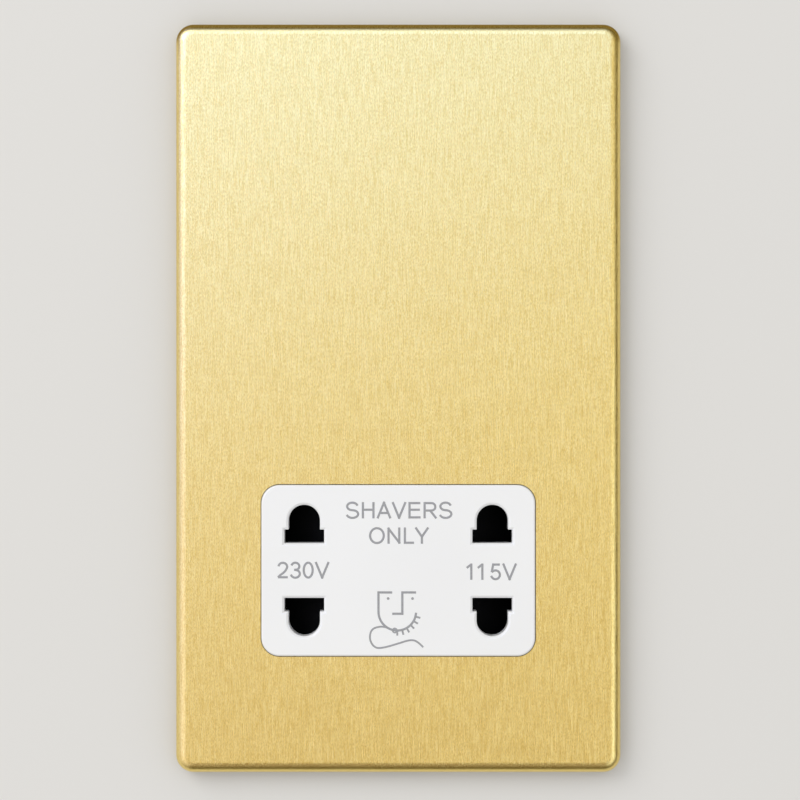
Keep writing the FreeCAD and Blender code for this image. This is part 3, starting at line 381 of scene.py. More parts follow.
white_gloss = make_moulding(
    "white gloss", (0.885, 0.885, 0.88), (0.905, 0.905, 0.9), 0.32, 0.5, 0.04, 0.3
)
black_satin = make_moulding("black satin", (0.002, 0.002, 0.002), (0.004, 0.004, 0.004), 0.6)
black_satin.node_tree.nodes["Principled BSDF"].inputs["Specular IOR Level"].default_value = 0.04
housing_black = make_moulding(
    "housing black", (0.030, 0.030, 0.032), (0.042, 0.042, 0.045), 0.55, 0.5, 0.5
)
frame_black = make_moulding(
    "frame black", (0.026, 0.026, 0.028), (0.036, 0.036, 0.038), 0.5, 0.5, 0.4
)
stone_satin = make_moulding("stone satin", (0.68, 0.65, 0.55), (0.74, 0.71, 0.62), 0.5)
block_satin = make_moulding("block satin", (0.78, 0.77, 0.72), (0.84, 0.83, 0.79), 0.42)
nylon = make_moulding("nylon", (0.76, 0.74, 0.67), (0.82, 0.80, 0.74), 0.45)


# %% Worked metals
def make_metal(name, dark, light, roughness, width=0.15, length=1.5, depth=0.15):
    material, tree, shader = new_finish(name, roughness, 1.0)
    streaks = place_group(tree, brushed_streaks, Width=width, Length=length)
    mottle = place_group(tree, moulded_mottle, Grain=1.2)
    tone = tone_between(tree, mottle.outputs["Cloud"], dark, light)
    tree.links.new(tone, shader.inputs["Base Color"])
    rough = level_between(tree, mottle.outputs["Grain"], roughness - 0.06, roughness + 0.06)
    tree.links.new(rough, shader.inputs["Roughness"])
    raise_grain(tree, shader, streaks.outputs["Streaks"], depth, 0.03 * mm)
    return material


drawn_steel = make_metal("drawn steel", (0.56, 0.56, 0.55), (0.66, 0.66, 0.64), 0.25)
zinc_plate = make_metal("zinc plate", (0.60, 0.60, 0.56), (0.70, 0.69, 0.66), 0.28, 0.4, 0.4, 0.1)
bare_brass = make_metal("bare brass", (0.70, 0.54, 0.25), (0.80, 0.64, 0.32), 0.3, 0.2, 0.8, 0.2)
strip_bronze = make_metal("strip bronze", (0.62, 0.44, 0.24), (0.74, 0.55, 0.32), 0.3)
tinned = make_metal("tinned", (0.68, 0.68, 0.67), (0.76, 0.76, 0.74), 0.22)


# %% [markdown]
# ### Stacks and coils
# The core is a stack of thin sheets and a winding is hundreds of turns of enamelled wire. Neither
# is worth modelling turn by turn inside a closed housing, so a Wave texture draws the sheets along
# Y and the turns along Z, at their real pitch, as colour and as a small bump.


# %% Core sheets and enamelled turns
def make_banded(name, axis, pitch, dark, light, roughness, metallic):
    """One band for each pitch: a Wave texture repeats every pi / 10, divided by its scale."""
    material, tree, shader = new_finish(name, roughness, metallic)
    place = tree.nodes.new("ShaderNodeTexCoord").outputs["Object"]
    wave = tree.nodes.new("ShaderNodeTexWave")
    wave.bands_direction = axis
    wave.inputs["Scale"].default_value = math.pi / (10 * pitch)
    wave.inputs["Distortion"].default_value = 0.15
    tree.links.new(place, wave.inputs["Vector"])
    tone = tone_between(tree, wave.outputs["Fac"], dark, light, 0.0, 0.8)
    tree.links.new(tone, shader.inputs["Base Color"])
    raise_grain(tree, shader, wave.outputs["Fac"], 0.5, pitch / 4)
    return material


core_sheets = make_banded(
    "core sheets", "Y", 0.5 * mm, (0.09, 0.10, 0.11), (0.25, 0.26, 0.28), 0.45, 0.6
)
enamelled_turns = make_banded(
    "enamelled turns", "Z", 0.3 * mm, (0.28, 0.09, 0.03), (0.62, 0.28, 0.12), 0.3, 0.7
)
film_tape = make_moulding("film tape", (0.76, 0.56, 0.06), (0.84, 0.66, 0.12), 0.25, 1.0, 0.1, 0.4)
cutout_case = make_moulding("cut-out case", (0.74, 0.72, 0.66), (0.80, 0.78, 0.72), 0.3)
print("finishes:", len(bpy.data.materials))


# %% Insulation of the leads
def make_insulation(name, colour):
    dark = tuple(0.85 * value for value in colour)
    return make_moulding(name, dark, colour, 0.4, 0.8, 0.1)


lead_colours = {
    "lead_live": make_insulation("brown insulation", (0.24, 0.11, 0.055)),
    "lead_switched": make_insulation("dark brown insulation", (0.17, 0.08, 0.045)),
    "lead_neutral": make_insulation("blue insulation", (0.05, 0.20, 0.52)),
    "lead_common": make_insulation("white insulation", (0.80, 0.80, 0.78)),
    "lead_230": make_insulation("red insulation", (0.58, 0.06, 0.05)),
    "lead_115": make_insulation("yellow insulation", (0.82, 0.66, 0.08)),
}

# %% [markdown]
# ## The CAD pieces that stay
# Most of the parts behind the plate already have the right shape, so they keep their meshes and
# only get a finish. Assigning to the material slot changes the look and leaves the CAD mesh alone.

# %% Finishes on the CAD pieces
kept = {
    "shutter_slider": black_satin,
    "switch_bridge": strip_bronze,
    "contact_carrier": stone_satin,
    "contact_cover": stone_satin,
    "contact_230": strip_bronze,
    "contact_115": strip_bronze,
    "contact_common": strip_bronze,
    "switch_strip_supply": strip_bronze,
    "switch_strip_load": strip_bronze,
    "transformer_core": core_sheets,
    "core_bracket": zinc_plate,
    "bobbin": nylon,
    "bobbin_pins": tinned,
    "primary_winding": enamelled_turns,
    "secondary_winding": enamelled_turns,
    "primary_tape": film_tape,
    "secondary_tape": film_tape,
    "thermal_cutout": cutout_case,
    "terminal_live": bare_brass,
    "terminal_neutral": bare_brass,
    "terminal_earth": bare_brass,
}


def paint(piece, material):
    piece.data.materials.clear()
    piece.data.materials.append(material)


for name, material in kept.items():
    paint(frame["nodes"][name], material)
print("painted", len(kept), "CAD pieces")

# %% [markdown]
# ## The brass plate
# A press makes the real plate: a flat sheet gets a window and its rim is folded back with a soft
# radius. A box whose edges are rounded, opened at the back and given a wall follows the same
# order. The CAD plate has the same shape, but its folds are flat facets that would catch the light
# in stripes, so this one stands for it.


# %% Press the plate
def make_plate():
    plate = add_block("brass_plate", plate_low, plate_high)
    round_upright(plate, plate_corner, corner_steps)
    select_edges(plate, lambda a, b: max(a.y, b.y) < plate_low.y + hair)
    bpy.ops.mesh.bevel(offset=plate_fold, segments=8, affect="EDGES")
    bpy.ops.object.mode_set(mode="OBJECT")
    select_faces(plate, lambda face: face.normal.y > 0.9)
    bpy.ops.mesh.delete(type="FACE")
    bpy.ops.object.mode_set(mode="OBJECT")
    wall = plate.modifiers.new("wall", "SOLIDIFY")
    wall.thickness = sheet
    wall.offset = -1
    apply_modifiers(plate)
    return plate


def window_cutter():
    middle = Vector((0, plate_low.y, insert_mid_z))
    half = Vector((window_width / 2, 4 * sheet, window_height / 2))
    cutter = add_block("window", middle - half, middle + half)
    round_upright(cutter, window_corner, corner_steps)
    return cutter


def notch_cutter():
    """The shallow gap in the lower rim where a screwdriver lifts the plate off."""
    width, depth = lift_notch
    low = Vector((-width / 2, -depth, plate_low.z - sheet))
    high = Vector((width / 2, sheet, plate_low.z + 2 * sheet))
    return add_block("notch", low, high)


brass_plate = make_plate()
cut_away(brass_plate, window_cutter())
cut_away(brass_plate, notch_cutter())
paint(brass_plate, satin_brass)
finish_piece(brass_plate, "socket_body")
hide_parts("front_plate")

# %% [markdown]
# ## Moulded pieces with soft edges
# A moulding never has a knife edge: the tool's corners leave a tenth or two of a millimetre of
# radius, and that radius is what draws a bright line round the white outlet piece. A copy of the
# CAD piece is merged, its flat faces are joined up again, and a narrow bevel rounds the sharp
# edges. The joined faces have many corners, so the bevel keeps an even width and doesn't slide
# along the seams between them: a point that slides past its neighbour would turn part of a face
# over.


# %% Soften a copy of a CAD piece
def softened(node, name, radius, segments=2, angle=35):
    take_up(frame["nodes"][node])
    bpy.ops.object.duplicate()
    piece = bpy.context.active_object
    piece.name = name
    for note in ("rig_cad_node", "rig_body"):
        if note in piece:
            del piece[note]
    bpy.ops.object.parent_clear(type="CLEAR_KEEP_TRANSFORM")
    bpy.ops.mesh.customdata_custom_splitnormals_clear()
    bpy.ops.object.mode_set(mode="EDIT")
    bpy.ops.mesh.select_all(action="SELECT")
    bpy.ops.mesh.remove_doubles(threshold=2 * hair)
    bpy.ops.mesh.dissolve_limited(angle_limit=math.radians(0.5))
    bpy.ops.object.mode_set(mode="OBJECT")
    if radius:
        edges = piece.modifiers.new("soft edges", "BEVEL")
        edges.width = radius
        edges.segments = segments
        edges.limit_method = "ANGLE"
        edges.angle_limit = math.radians(angle)
        edges.use_clamp_overlap = True
        edges.loop_slide = False
        apply_modifiers(piece)
    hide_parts(node)
    return piece


# %% Outlet moulding
def set_face_back():
    """Moves the outlet face back by the print's depth, so that the print stays flush."""
    take_up(white_insert)
    bpy.ops.object.mode_set(mode="EDIT")
    bpy.ops.mesh.select_mode(type="VERT")
    bpy.ops.mesh.select_all(action="DESELECT")
    bpy.ops.object.mode_set(mode="OBJECT")
    for vertex in white_insert.data.vertices:
        vertex.select = vertex.co.y < face_y + hair
    bpy.ops.object.mode_set(mode="EDIT")
    bpy.ops.transform.translate(value=(0, print_depth, 0))
    bpy.ops.object.mode_set(mode="OBJECT")


white_insert = softened("socket_insert", "outlet_moulding", 0.12 * mm)
set_face_back()
paint(white_insert, white_gloss)
finish_piece(white_insert, "socket_body")

# %% Frame, housing and terminal block
for node, name, radius, material, slot in (
    ("mounting_frame", "moulded_frame", 0.15 * mm, frame_black, "frame_plastic"),
    ("rear_housing", "moulded_housing", 0.2 * mm, housing_black, "housing_plastic"),
    ("terminal_block", "moulded_block", 0.12 * mm, block_satin, "block_plastic"),
    ("earth_strap", "folded_strap", 0.05 * mm, bare_brass, "strap_brass"),
):
    piece = softened(node, name, radius)
    paint(piece, material)
    finish_piece(piece, "socket_body")

# %% Round leads
for node, material in lead_colours.items():
    lead = softened(node, node + "_round", 0)
    paint(lead, material)
    finish_piece(lead, "socket_body", 60)

# %% [markdown]
# ## Coil springs
# Two springs keep the shutter in the middle. The CAD has them with flat sides to stay light. Here
# each is a small circle carried round and along by a Screw modifier, which is how a coil is wound.
# One end sits on the fixed peg and the other in the slider. Neither spring is attached to a body,
# so both keep their wound shape and place when the slider moves.


# %% Wind the springs
def wind_spring(name, node):
    low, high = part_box(node)
    wire = 0.45 * mm
    round_wire = 12
    turns = 8
    steps = 24 * turns
    middle = (low + high) / 2
    radius = (high.y - low.y - wire) / 2
    length = high.x - low.x - wire
    take_up_nothing()
    bpy.ops.mesh.primitive_circle_add(vertices=round_wire, radius=wire / 2)
    spring = bpy.context.active_object
    spring.name = name
    bpy.ops.object.mode_set(mode="EDIT")
    bpy.ops.mesh.select_all(action="SELECT")
    bpy.ops.transform.translate(value=(0, radius, 0))
    bpy.ops.object.mode_set(mode="OBJECT")
    wound = spring.modifiers.new("wound", "SCREW")
    wound.axis = "X"
    wound.angle = 2 * math.pi * turns
    wound.screw_offset = length
    wound.steps = steps
    wound.render_steps = steps
    apply_modifiers(spring)
    bpy.ops.object.mode_set(mode="EDIT")
    bpy.ops.mesh.select_all(action="SELECT")
    bpy.ops.mesh.fill_holes(sides=round_wire)
    bpy.ops.mesh.select_all(action="SELECT")
    bpy.ops.mesh.normals_make_consistent(inside=False)
    bpy.ops.object.mode_set(mode="OBJECT")
    spring.location = (low.x + wire / 2, middle.y, middle.z)
    paint(spring, drawn_steel)
    settle(spring, 50)
    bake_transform(spring)
    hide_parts(node)


wind_spring("coil_left", "shutter_spring_left")
wind_spring("coil_right", "shutter_spring_right")

# %% [markdown]
# ## Screws
# The four housing screws have a rounded head with a cross recess, and the three terminal screws a
# straight slot. One of each is modelled on the origin with its head facing +Y, then copied to each
# place. A recess is cut by a small wedge-shaped cross, tapered as the driver's tip is.


# %% Turn one screw
def turn_screw(name, head_radius, head, shank_radius, shank, dome):
    """A screw on the origin: its head above, rounded by the dome's radius, and its shank below."""
    take_up_nothing()
    bpy.ops.mesh.primitive_cylinder_add(
        vertices=48, radius=head_radius, depth=head, location=(0, head / 2, 0), rotation=around_x
    )
    screw = bpy.context.active_object
    screw.name = name
    bpy.ops.object.transform_apply(location=True, rotation=True, scale=True)
    select_edges(screw, lambda a, b: min(a.y, b.y) > head - hair)
    bpy.ops.mesh.bevel(offset=dome, segments=5, affect="EDGES")
    bpy.ops.object.mode_set(mode="OBJECT")
    select_faces(screw, lambda face: face.normal.y < -0.9)
    bpy.ops.mesh.inset(thickness=head_radius - shank_radius)
    bpy.ops.mesh.extrude_region_move(TRANSFORM_OT_translate={"value": (0, -shank, 0)})
    bpy.ops.object.mode_set(mode="OBJECT")
    return screw


def cross_cutter(width, reach, depth, top):
    """Two crossed bars that narrow towards the bottom of the recess."""
    taper = 0.55
    bars = []
    for half in (Vector((reach, depth, width / 2)), Vector((width / 2, depth, reach))):
        bar = add_block("bar", Vector((0, top, 0)) - half, Vector((0, top, 0)) + half)
        select_faces(bar, lambda face: face.normal.y < -0.9)
        bpy.ops.transform.resize(value=(taper, 1, taper))
        bpy.ops.object.mode_set(mode="OBJECT")
        bars.append(bar)
    return bars


# %% Housing screws with a cross recess
def copies_at(screw, places, name):
    """One object with a copy of the screw at each place."""
    copies = []
    for place in places:
        take_up(screw)
        bpy.ops.object.duplicate()
        copy = bpy.context.active_object
        copy.location = place
        copies.append(copy)
    bpy.data.objects.remove(screw)
    take_up(*copies)
    bpy.ops.object.join()
    group = bpy.context.active_object
    group.name = name
    return group


ear_low, ear_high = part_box("housing_screws")
head_radius = 2.8 * mm
head = 1.8 * mm
seat_y = ear_high.y - head
pan_shank = seat_y - ear_low.y
pan_screw = turn_screw("pan_screw", head_radius, head, 1.45 * mm, pan_shank, 0.8 * mm)
for bar in cross_cutter(width=0.75 * mm, reach=1.55 * mm, depth=1.1 * mm, top=head):
    cut_away(pan_screw, bar)
left, right = ear_low.x + head_radius, ear_high.x - head_radius
bottom, top = ear_low.z + head_radius, ear_high.z - head_radius
corners = [Vector((x, seat_y, z)) for x in (left, right) for z in (bottom, top)]
pan_screws = copies_at(pan_screw, corners, "pan_screws")
paint(pan_screws, zinc_plate)
finish_piece(pan_screws, "socket_body", 30)
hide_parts("housing_screws")

# %% Terminal screws with a slot
slot_low, slot_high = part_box("terminal_screws")
cheese_radius = 2.6 * mm
cheese = 1.6 * mm
cheese_seat = slot_high.y - cheese
slot_shank = cheese_seat - slot_low.y
slotted = turn_screw("slotted_screw", cheese_radius, cheese, 1.75 * mm, slot_shank, 0.25 * mm)
half_slot = Vector((2 * cheese_radius, cheese / 2, 0.4 * mm))
slot_top = Vector((0, cheese, 0))
cut_away(slotted, add_block("slot", slot_top - half_slot, slot_top + half_slot))
row_z = (slot_low.z + slot_high.z) / 2
row_places = (slot_low.x + cheese_radius, 0, slot_high.x - cheese_radius)
row = [Vector((x, cheese_seat, row_z)) for x in row_places]
slotted_screws = copies_at(slotted, row, "slotted_screws")
paint(slotted_screws, zinc_plate)
finish_piece(slotted_screws, "socket_body", 30)
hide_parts("terminal_screws")

# %% [markdown]
# ## Printed marks
# The outlet face carries plain grey print: the two voltages, what the outlets are for, and the
# common sign for a shaver. Print has no thickness to speak of, so each mark is a film two
# hundredths of a millimetre thick, set flush into the face. Blender's own font is lighter and
# rounder than this print, so the letters are drawn as a draughtsman would, each from a few strokes
# of one width.

# %% Print ink
ink_material, ink_tree, ink_shader = new_finish("grey print", 0.5)
ink_mottle = place_group(ink_tree, moulded_mottle, Grain=0.3)
ink_dark, ink_light = (0.31, 0.31, 0.31), (0.36, 0.36, 0.36)
ink_tone = tone_between(ink_tree, ink_mottle.outputs["Grain"], ink_dark, ink_light)
ink_tree.links.new(ink_tone, ink_shader.inputs["Base Color"])


# %% [markdown]
# A straight stroke is a square bar for each of its runs, a little longer where two runs meet, so
# that the corners close. A curved stroke is a tube along a curve, through its points or drawn
# towards them. Both are pressed flat afterwards.


# %% Strokes and dots
def draw_line(points, width):
    """Square bars through points (x, z), with closed corners."""
    bars = []
    last = len(points) - 2
    for index, (near, far) in enumerate(zip(points, points[1:])):
        near, far = Vector((near[0], 0, near[1])), Vector((far[0], 0, far[1]))
        along = (far - near).normalized()
        if index > 0:
            near -= along * width / 2
        if index < last:
            far += along * width / 2
        take_up_nothing()
        turn = -math.atan2(along.z, along.x)
        bpy.ops.mesh.primitive_cube_add(size=1, location=(near + far) / 2, rotation=(0, turn, 0))
        bar = bpy.context.active_object
        bar.scale = ((far - near).length, width, width)
        bpy.ops.object.transform_apply(location=True, rotation=True, scale=True)
        bars.append(bar)
    return bars


def draw_curve(points, width, loose=False):
    """A round stroke through points (x, z), or a loose one drawn towards them."""
    take_up_nothing()
    bpy.ops.curve.primitive_nurbs_path_add()
    line = bpy.context.active_object
    line.data.splines.clear()
    spline = line.data.splines.new("NURBS" if loose else "POLY")
    spline.points.add(len(points) - 1)
    for point, (x, z) in zip(spline.points, points):
        point.co = (x, 0, z, 1)
    if loose:
        spline.order_u = 3
        spline.use_endpoint_u = True
    line.data.bevel_depth = width / 2
    line.data.bevel_resolution = 2
    line.data.use_fill_caps = True
    line.data.resolution_u = 6
    bpy.ops.object.convert(target="MESH")
    return [bpy.context.active_object]


def draw_loose(points, width):
    return draw_curve(points, width, True)


def draw_dot(x, z, radius):
    take_up_nothing()
    bpy.ops.mesh.primitive_cylinder_add(
        vertices=20, radius=radius, depth=radius, location=(x, 0, z), rotation=around_x
    )
    bpy.ops.object.transform_apply(location=True, rotation=True, scale=True)
    return [bpy.context.active_object]


def arc_points(radius, first, last, count, x=0.0, z=0.0, squeeze=1.0):
    """Points on an arc between two angles, or on an ellipse where it is squeezed in x."""
    angles = [math.radians(first + (last - first) * step / count) for step in range(count + 1)]
    wide = squeeze * radius
    return [(x + wide * math.cos(angle), z + radius * math.sin(angle)) for angle in angles]


def print_flat(strokes, name, x, z):
    """Joins strokes drawn round the origin, presses them flat and puts them on the outlet face.

    Strokes that cross get slightly different heights, so that no two faces share one plane.
    """
    for number, stroke in enumerate(strokes):
        stroke.scale.y = 1 - 0.06 * (number % 4)
    take_up(*strokes)
    bpy.ops.object.transform_apply(location=True, rotation=True, scale=True)
    bpy.ops.object.join()
    mark = bpy.context.active_object
    mark.name = name
    thick = 2 * max(vertex.co.y for vertex in mark.data.vertices)
    mark.scale = (1, print_depth / thick, 1)
    mark.location = (x, face_y + print_depth / 2, z)
    paint(mark, ink_material)
    finish_piece(mark, "socket_body", 80)


# %% [markdown]
# Each letter stands on a grid whose unit is the height of a capital, and says how wide it is. A
# stroke is marked as straight or curved, so the same helper draws both.

# %% Letters and numbers
letter_stroke = 0.135
ring = arc_points(0.46, 90, 450, 24, 0.545, 0.5, 0.92)
narrow_ring = arc_points(0.46, 90, 450, 24, 0.388, 0.5, 0.6)
s_curve = arc_points(0.235, 12, 250, 12, 0.46, 0.735, 1.38)
s_curve += arc_points(0.24, 70, -168, 12, 0.465, 0.265, 1.48)
bowl = [(0.18, 0.94), (0.58, 0.94)]
bowl += arc_points(0.23, 80, -80, 8, 0.61, 0.71) + [(0.5, 0.48), (0.18, 0.48)]
two_top = arc_points(0.255, 172, -12, 10, 0.385, 0.70, 1.06)
two_top += [(0.5, 0.38), (0.15, 0.15), (0.10, 0.05)]
e_side = [(0.86, 0.06), (0.18, 0.06), (0.18, 0.94), (0.845, 0.94)]
three_top = arc_points(0.23, 165, -65, 10, 0.375, 0.73, 1.08) + [(0.30, 0.52)]
three_low = [(0.30, 0.52)] + arc_points(0.245, 65, -168, 12, 0.375, 0.275, 1.14)
five_low = [(0.15, 0.47)] + arc_points(0.275, 118, -166, 12, 0.38, 0.305, 1.0)
letters = {
    "S": (0.93, [], [s_curve]),
    "H": (1.01, [[(0.18, 0), (0.18, 1)], [(0.83, 0), (0.83, 1)], [(0.18, 0.53), (0.83, 0.53)]], []),
    "A": (0.93, [[(0.07, 0), (0.466, 0.96), (0.865, 0)], [(0.19, 0.33), (0.745, 0.33)]], []),
    "V": (0.93, [[(0.07, 1), (0.466, 0.04), (0.865, 1)]], []),
    "E": (0.93, [e_side, [(0.18, 0.53), (0.82, 0.53)]], []),
    "R": (1.01, [[(0.18, 0), (0.18, 1)], [(0.52, 0.48), (0.90, 0)]], [bowl]),
    "O": (1.09, [], [ring]),
    "N": (1.01, [[(0.17, 0), (0.17, 0.93), (0.83, 0.07), (0.83, 1)]], []),
    "L": (0.75, [[(0.166, 1), (0.166, 0.06), (0.726, 0.06)]], []),
    "Y": (0.93, [[(0.07, 1), (0.463, 0.43), (0.463, 0)], [(0.463, 0.43), (0.856, 1)]], []),
    "0": (0.78, [], [narrow_ring]),
    "1": (0.68, [[(0.25, 0), (0.25, 1)], [(-0.03, 0.73), (0.23, 0.93)]], []),
    "2": (0.78, [[(0.09, 0.06), (0.69, 0.06)]], [two_top]),
    "3": (0.78, [], [three_top, three_low]),
    "5": (0.78, [[(0.65, 0.935), (0.235, 0.935), (0.15, 0.47)]], [five_low]),
}


def print_words(name, words, middle_x, base_z, height):
    """Letters of one capital height, side by side about their middle."""
    total = sum(letters[letter][0] for letter in words)
    start = -total * height / 2
    strokes = []
    for letter in words:
        width, straight, curved = letters[letter]
        for lines, draw in ((straight, draw_line), (curved, draw_loose)):
            for line in lines:
                points = [(start + x * height, z * height) for x, z in line]
                strokes += draw(points, letter_stroke * height)
        start += width * height
    print(words, "is", round(total * height / mm, 2), "mm wide")
    print_flat(strokes, name, middle_x, base_z)


capital = 3.2 * mm
print_words("voltage_left", "230V", -18.75 * mm, insert_mid_z - 1.5 * mm, capital)
print_words("voltage_right", "115V", 18.5 * mm, insert_mid_z - 1.8 * mm, capital)
print_words("purpose_upper", "SHAVERS", 0.15 * mm, insert_mid_z + 10.3 * mm, capital)
print_words("purpose_lower", "ONLY", 0.1 * mm, insert_mid_z + 5.3 * mm, capital)

# %% [markdown]
# The sign is the common one for a shaver outlet: a face in outline, a shaver at the chin and its
# loose cord. Arcs come from a centre, a radius and two angles, and only the cord is a free curve.

# %% Draw the sign
jaw = 3.7 * mm
brow = 3.8 * mm
nose = 1.0 * mm
nose_low = -0.4 * mm
tick_end = 4.7 * mm
line_width = 0.44 * mm
thin_width = 0.36 * mm
sign = draw_line([(-nose, brow), (-jaw, brow), (-jaw, 0)], line_width)
sign += draw_curve(arc_points(jaw, 180, 357, 32), line_width)
sign += draw_line([(jaw, brow), (nose, brow), (nose, nose_low), (-nose, nose_low)], line_width)
sign += draw_curve(arc_points(0.42 * mm, 0, 360, 16, -0.5 * mm, -3.7 * mm), 0.3 * mm)
for step in range(1, 7):
    near, far = (arc_points(reach, -15 * step, 0, 1)[0] for reach in (jaw, tick_end))
    sign += draw_line([near, far], thin_width)
for x in (-1.8 * mm, 3.0 * mm):
    sign += draw_dot(x, 2.6 * mm, 0.27 * mm)
cord_route = [
    (-0.9, -3.6), (-2.2, -3.0), (-3.6, -2.9), (-5.2, -3.5), (-5.5, -5.6),
    (-4.4, -7.2), (-2.6, -7.1), (0.4, -6.2), (2.6, -5.5), (4.0, -5.8), (5.1, -7.0),
]
sign += draw_loose([(x * mm, z * mm) for x, z in cord_route], thin_width)
print_flat(sign, "shaver_sign", -0.2 * mm, insert_mid_z - 8.1 * mm)

# %% [markdown]
# ## Wall, light and camera
# The socket hangs on a pale wall, which takes its soft shadow. The wall is open behind the plate
# and can't be seen from behind, so the back views show the housing. In the photo the plate's upper
# fold is a dark line, as if it mirrored something dark above, so gloss alone sees the wall dark
# there. Big soft lamps stand in for a bright room: the strongest is up and to the left, which is
# where the plate is brightest.


# %% The wall
def make_wall():
    """A ring of wall whose hole follows the plate's outline, a little behind its rim."""
    take_up_nothing()
    behind = 0.1 * mm
    under = 0.15 * mm
    times_wider, times_higher = 36, 21
    bpy.ops.mesh.primitive_plane_add(size=2, location=(0, behind, 0), rotation=around_x)
    wall = bpy.context.active_object
    wall.name = "wall"
    wall.scale = (plate_high.x - under, plate_high.z - under, 1)
    bpy.ops.object.transform_apply(location=True, rotation=True, scale=True)
    bpy.ops.object.mode_set(mode="EDIT")
    bpy.ops.mesh.select_mode(type="VERT")
    bpy.ops.mesh.select_all(action="SELECT")
    bpy.ops.mesh.bevel(offset=plate_corner - under, segments=corner_steps, affect="VERTICES")
    bpy.ops.mesh.select_mode(type="EDGE")
    bpy.ops.mesh.select_all(action="SELECT")
    bpy.ops.mesh.delete(type="ONLY_FACE")
    bpy.ops.mesh.select_all(action="SELECT")
    bpy.ops.mesh.extrude_edges_move()
    wider = (times_wider, 1, times_higher)
    bpy.ops.transform.resize(value=wider, center_override=(0, behind, 0))
    bpy.ops.object.mode_set(mode="OBJECT")
    return wall


wall = make_wall()
wall_material, wall_tree, wall_shader = new_finish("pale wall", 0.9)
wall_shader.inputs["Base Color"].default_value = (0.76, 0.745, 0.715, 1.0)
wall_shader.inputs["Specular IOR Level"].default_value = 0.1
see_through = wall_tree.nodes.new("ShaderNodeBsdfTransparent")
facing = wall_tree.nodes.new("ShaderNodeNewGeometry")
choose = wall_tree.nodes.new("ShaderNodeMixShader")
wall_tree.links.new(facing.outputs["Backfacing"], choose.inputs["Fac"])
gloomy = wall_tree.nodes.new("ShaderNodeEmission")
gloomy.inputs["Color"].default_value = (0.24, 0.19, 0.08, 1.0)
gloom_fades_over = 4.0 * mm
upright = wall_tree.nodes.new("ShaderNodeSeparateXYZ")
wall_tree.links.new(wall_tree.nodes.new("ShaderNodeTexCoord").outputs["Object"], upright.inputs[0])
above = level_between(wall_tree, upright.outputs["Z"], 0.0, 1.0)
above.node.inputs["From Min"].default_value = plate_high.z - gloom_fades_over
above.node.inputs["From Max"].default_value = plate_high.z
gloss_sees = wall_tree.nodes.new("ShaderNodeLightPath").outputs["Is Glossy Ray"]
pale_or_gloomy = wall_tree.nodes.new("ShaderNodeMixShader")
gloom = arithmetic(wall_tree, "MULTIPLY", above, gloss_sees)
wall_tree.links.new(gloom, pale_or_gloomy.inputs["Fac"])
wall_tree.links.new(wall_shader.outputs[0], pale_or_gloomy.inputs[1])
wall_tree.links.new(gloomy.outputs[0], pale_or_gloomy.inputs[2])
wall_tree.links.new(pale_or_gloomy.outputs[0], choose.inputs[1])
wall_tree.links.new(see_through.outputs[0], choose.inputs[2])
wall_tree.links.new(choose.outputs[0], wall_tree.nodes["Material Output"].inputs["Surface"])
paint(wall, wall_material)
wall_normal = [round(value, 1) for value in wall.data.polygons[0].normal]
print("wall faces", len(wall.data.polygons), "normal", wall_normal)


# %% Lamps
def add_lamp(name, place, size, power, colour):
    take_up_nothing()
    bpy.ops.object.light_add(type="AREA", location=place)
    lamp = bpy.context.active_object
    lamp.name = name
    lamp.data.shape = "RECTANGLE"
    lamp.data.size, lamp.data.size_y = size
    lamp.data.energy = power
    lamp.data.color = colour
    lamp.rotation_mode = "QUATERNION"
    lamp.rotation_quaternion = Vector(place).to_track_quat("Z", "Y")
    return lamp


add_lamp("lamp_upper_left", (-1.1, -1.1, 0.9), (1.2, 1.2), 11.0, (1.0, 1.0, 1.0))
add_lamp("lamp_behind", (0.4, 1.2, 0.8), (1.0, 1.0), 10.0, (1.0, 1.0, 1.0))

# %% [markdown]
# Polished and brushed metal looks like what stands round it. So gloss sees a room that is bright
# and cool up to the left and warm and darker below, with a pale window on either side and a dark
# ring where the room meets the wall: the folds of the plate turn these into a bright band and a
# dark line. Plain surfaces get an even soft light instead, and the camera sees the same pale tone
# as the wall.

# %% World
world = bpy.data.worlds.new("pale room")
bpy.context.scene.world = world
world.use_nodes = True
room_tree = world.node_tree


def room_light(colour, strength):
    node = room_tree.nodes.new("ShaderNodeBackground")
    node.inputs["Strength"].default_value = strength
    if isinstance(colour, tuple):
        node.inputs["Color"].default_value = (*colour, 1.0)
    else:
        room_tree.links.new(colour, node.inputs["Color"])
    return node.outputs[0]


def room_choice(ray, otherwise, chosen):
    """Light for one kind of ray, and another for the rest."""
    mix = room_tree.nodes.new("ShaderNodeMixShader")
    room_tree.links.new(ray, mix.inputs["Fac"])
    room_tree.links.new(otherwise, mix.inputs[1])
    room_tree.links.new(chosen, mix.inputs[2])
    return mix.outputs[0]


direction = room_tree.nodes.new("ShaderNodeTexCoord").outputs["Generated"]


def room_slope(axis, low, high, from_value=0.0, to_value=1.0):
    """A value that goes from one level to another along a direction in the room."""
    along = room_tree.nodes.new("ShaderNodeVectorMath")
    along.operation = "DOT_PRODUCT"
    along.inputs[1].default_value = axis
    room_tree.links.new(direction, along.inputs[0])
    slope = level_between(room_tree, along.outputs["Value"], from_value, to_value)
    slope.node.inputs["From Min"].default_value = low
    slope.node.inputs["From Max"].default_value = high
    return slope


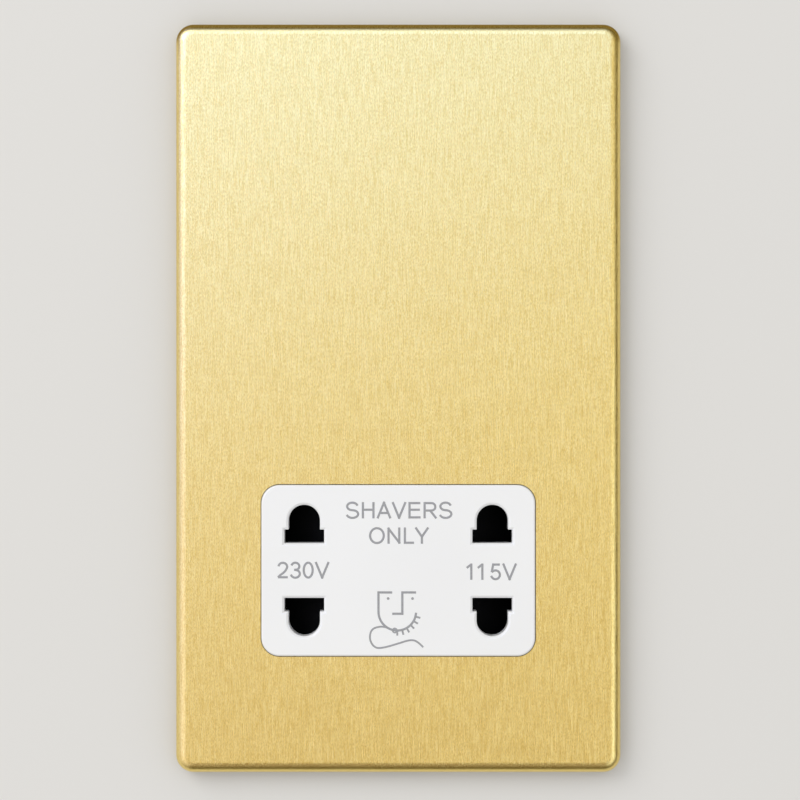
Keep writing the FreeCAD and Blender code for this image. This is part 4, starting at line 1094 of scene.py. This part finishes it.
height = room_slope((-0.45, 0.0, 1.0), -0.35, 0.35)
room_tone = tone_between(room_tree, height, (0.2, 0.14, 0.06), (1.2, 1.5, 2.8), 0.0, 1.0)
for place, tone in (
    (0.17, (0.53, 0.425, 0.255)),
    (0.33, (0.735, 0.625, 0.44)),
    (0.5, (0.815, 0.705, 0.45)),
    (0.62, (0.975, 0.975, 0.7)),
    (0.75, (1.07, 1.65, 4.0)),
):
    room_tone.node.color_ramp.elements.new(place).color = (*tone, 1.0)
upwards = room_slope((0.0, 0.0, 1.0), -0.1, 0.16)
right_tone = tone_between(room_tree, upwards, (1.5, 1.6, 2.0), (0.72, 0.66, 0.5), 0.0, 1.0)
left_tone = tone_between(room_tree, upwards, (1.15, 1.1, 1.35), (1.15, 1.35, 3.4), 0.0, 1.0)
to_the_right = room_slope((1.0, 0.0, 0.0), 0.18, 0.48)
to_the_left = room_slope((-1.0, 0.0, 0.0), 0.14, 0.4)
aside = room_slope((0.0, 1.0, 0.0), -0.72, -0.35)
softened_left = room_slope((-1.0, 0.0, 0.0), 0.2, 0.9, 1.0, 0.35)
dark = arithmetic(room_tree, "MULTIPLY", aside, softened_left)
rays = room_tree.nodes.new("ShaderNodeLightPath").outputs
even_light = room_light((0.86, 0.86, 0.86), 0.92)
seen_in_gloss = room_choice(to_the_right, room_light(room_tone, 1.0), room_light(right_tone, 1.0))
seen_in_gloss = room_choice(to_the_left, seen_in_gloss, room_light(left_tone, 1.0))
seen_in_gloss = room_choice(dark, seen_in_gloss, room_light((0.125, 0.105, 0.045), 1.0))
seen_plainly = room_light((0.745, 0.731, 0.701), 1.0)
light = room_choice(rays["Is Glossy Ray"], even_light, seen_in_gloss)
light = room_choice(rays["Is Camera Ray"], light, seen_plainly)
room_tree.links.new(light, room_tree.nodes["World Output"].inputs["Surface"])
bpy.context.scene.view_settings.view_transform = "Standard"

# %% Camera
take_up_nothing()
photo_width = 158.5 * mm
lens = 120.0
sensor = 36.0
distance = photo_width * lens / sensor
camera_place = Vector((0.34 * mm, plate_low.y / 2 - distance, -0.33 * mm))
bpy.ops.object.camera_add(location=camera_place, rotation=around_x)
camera = bpy.context.active_object
camera.data.lens = lens
camera.data.sensor_width = sensor
bpy.context.scene.camera = camera
print("camera stands", round(distance, 3), "m in front of the wall")
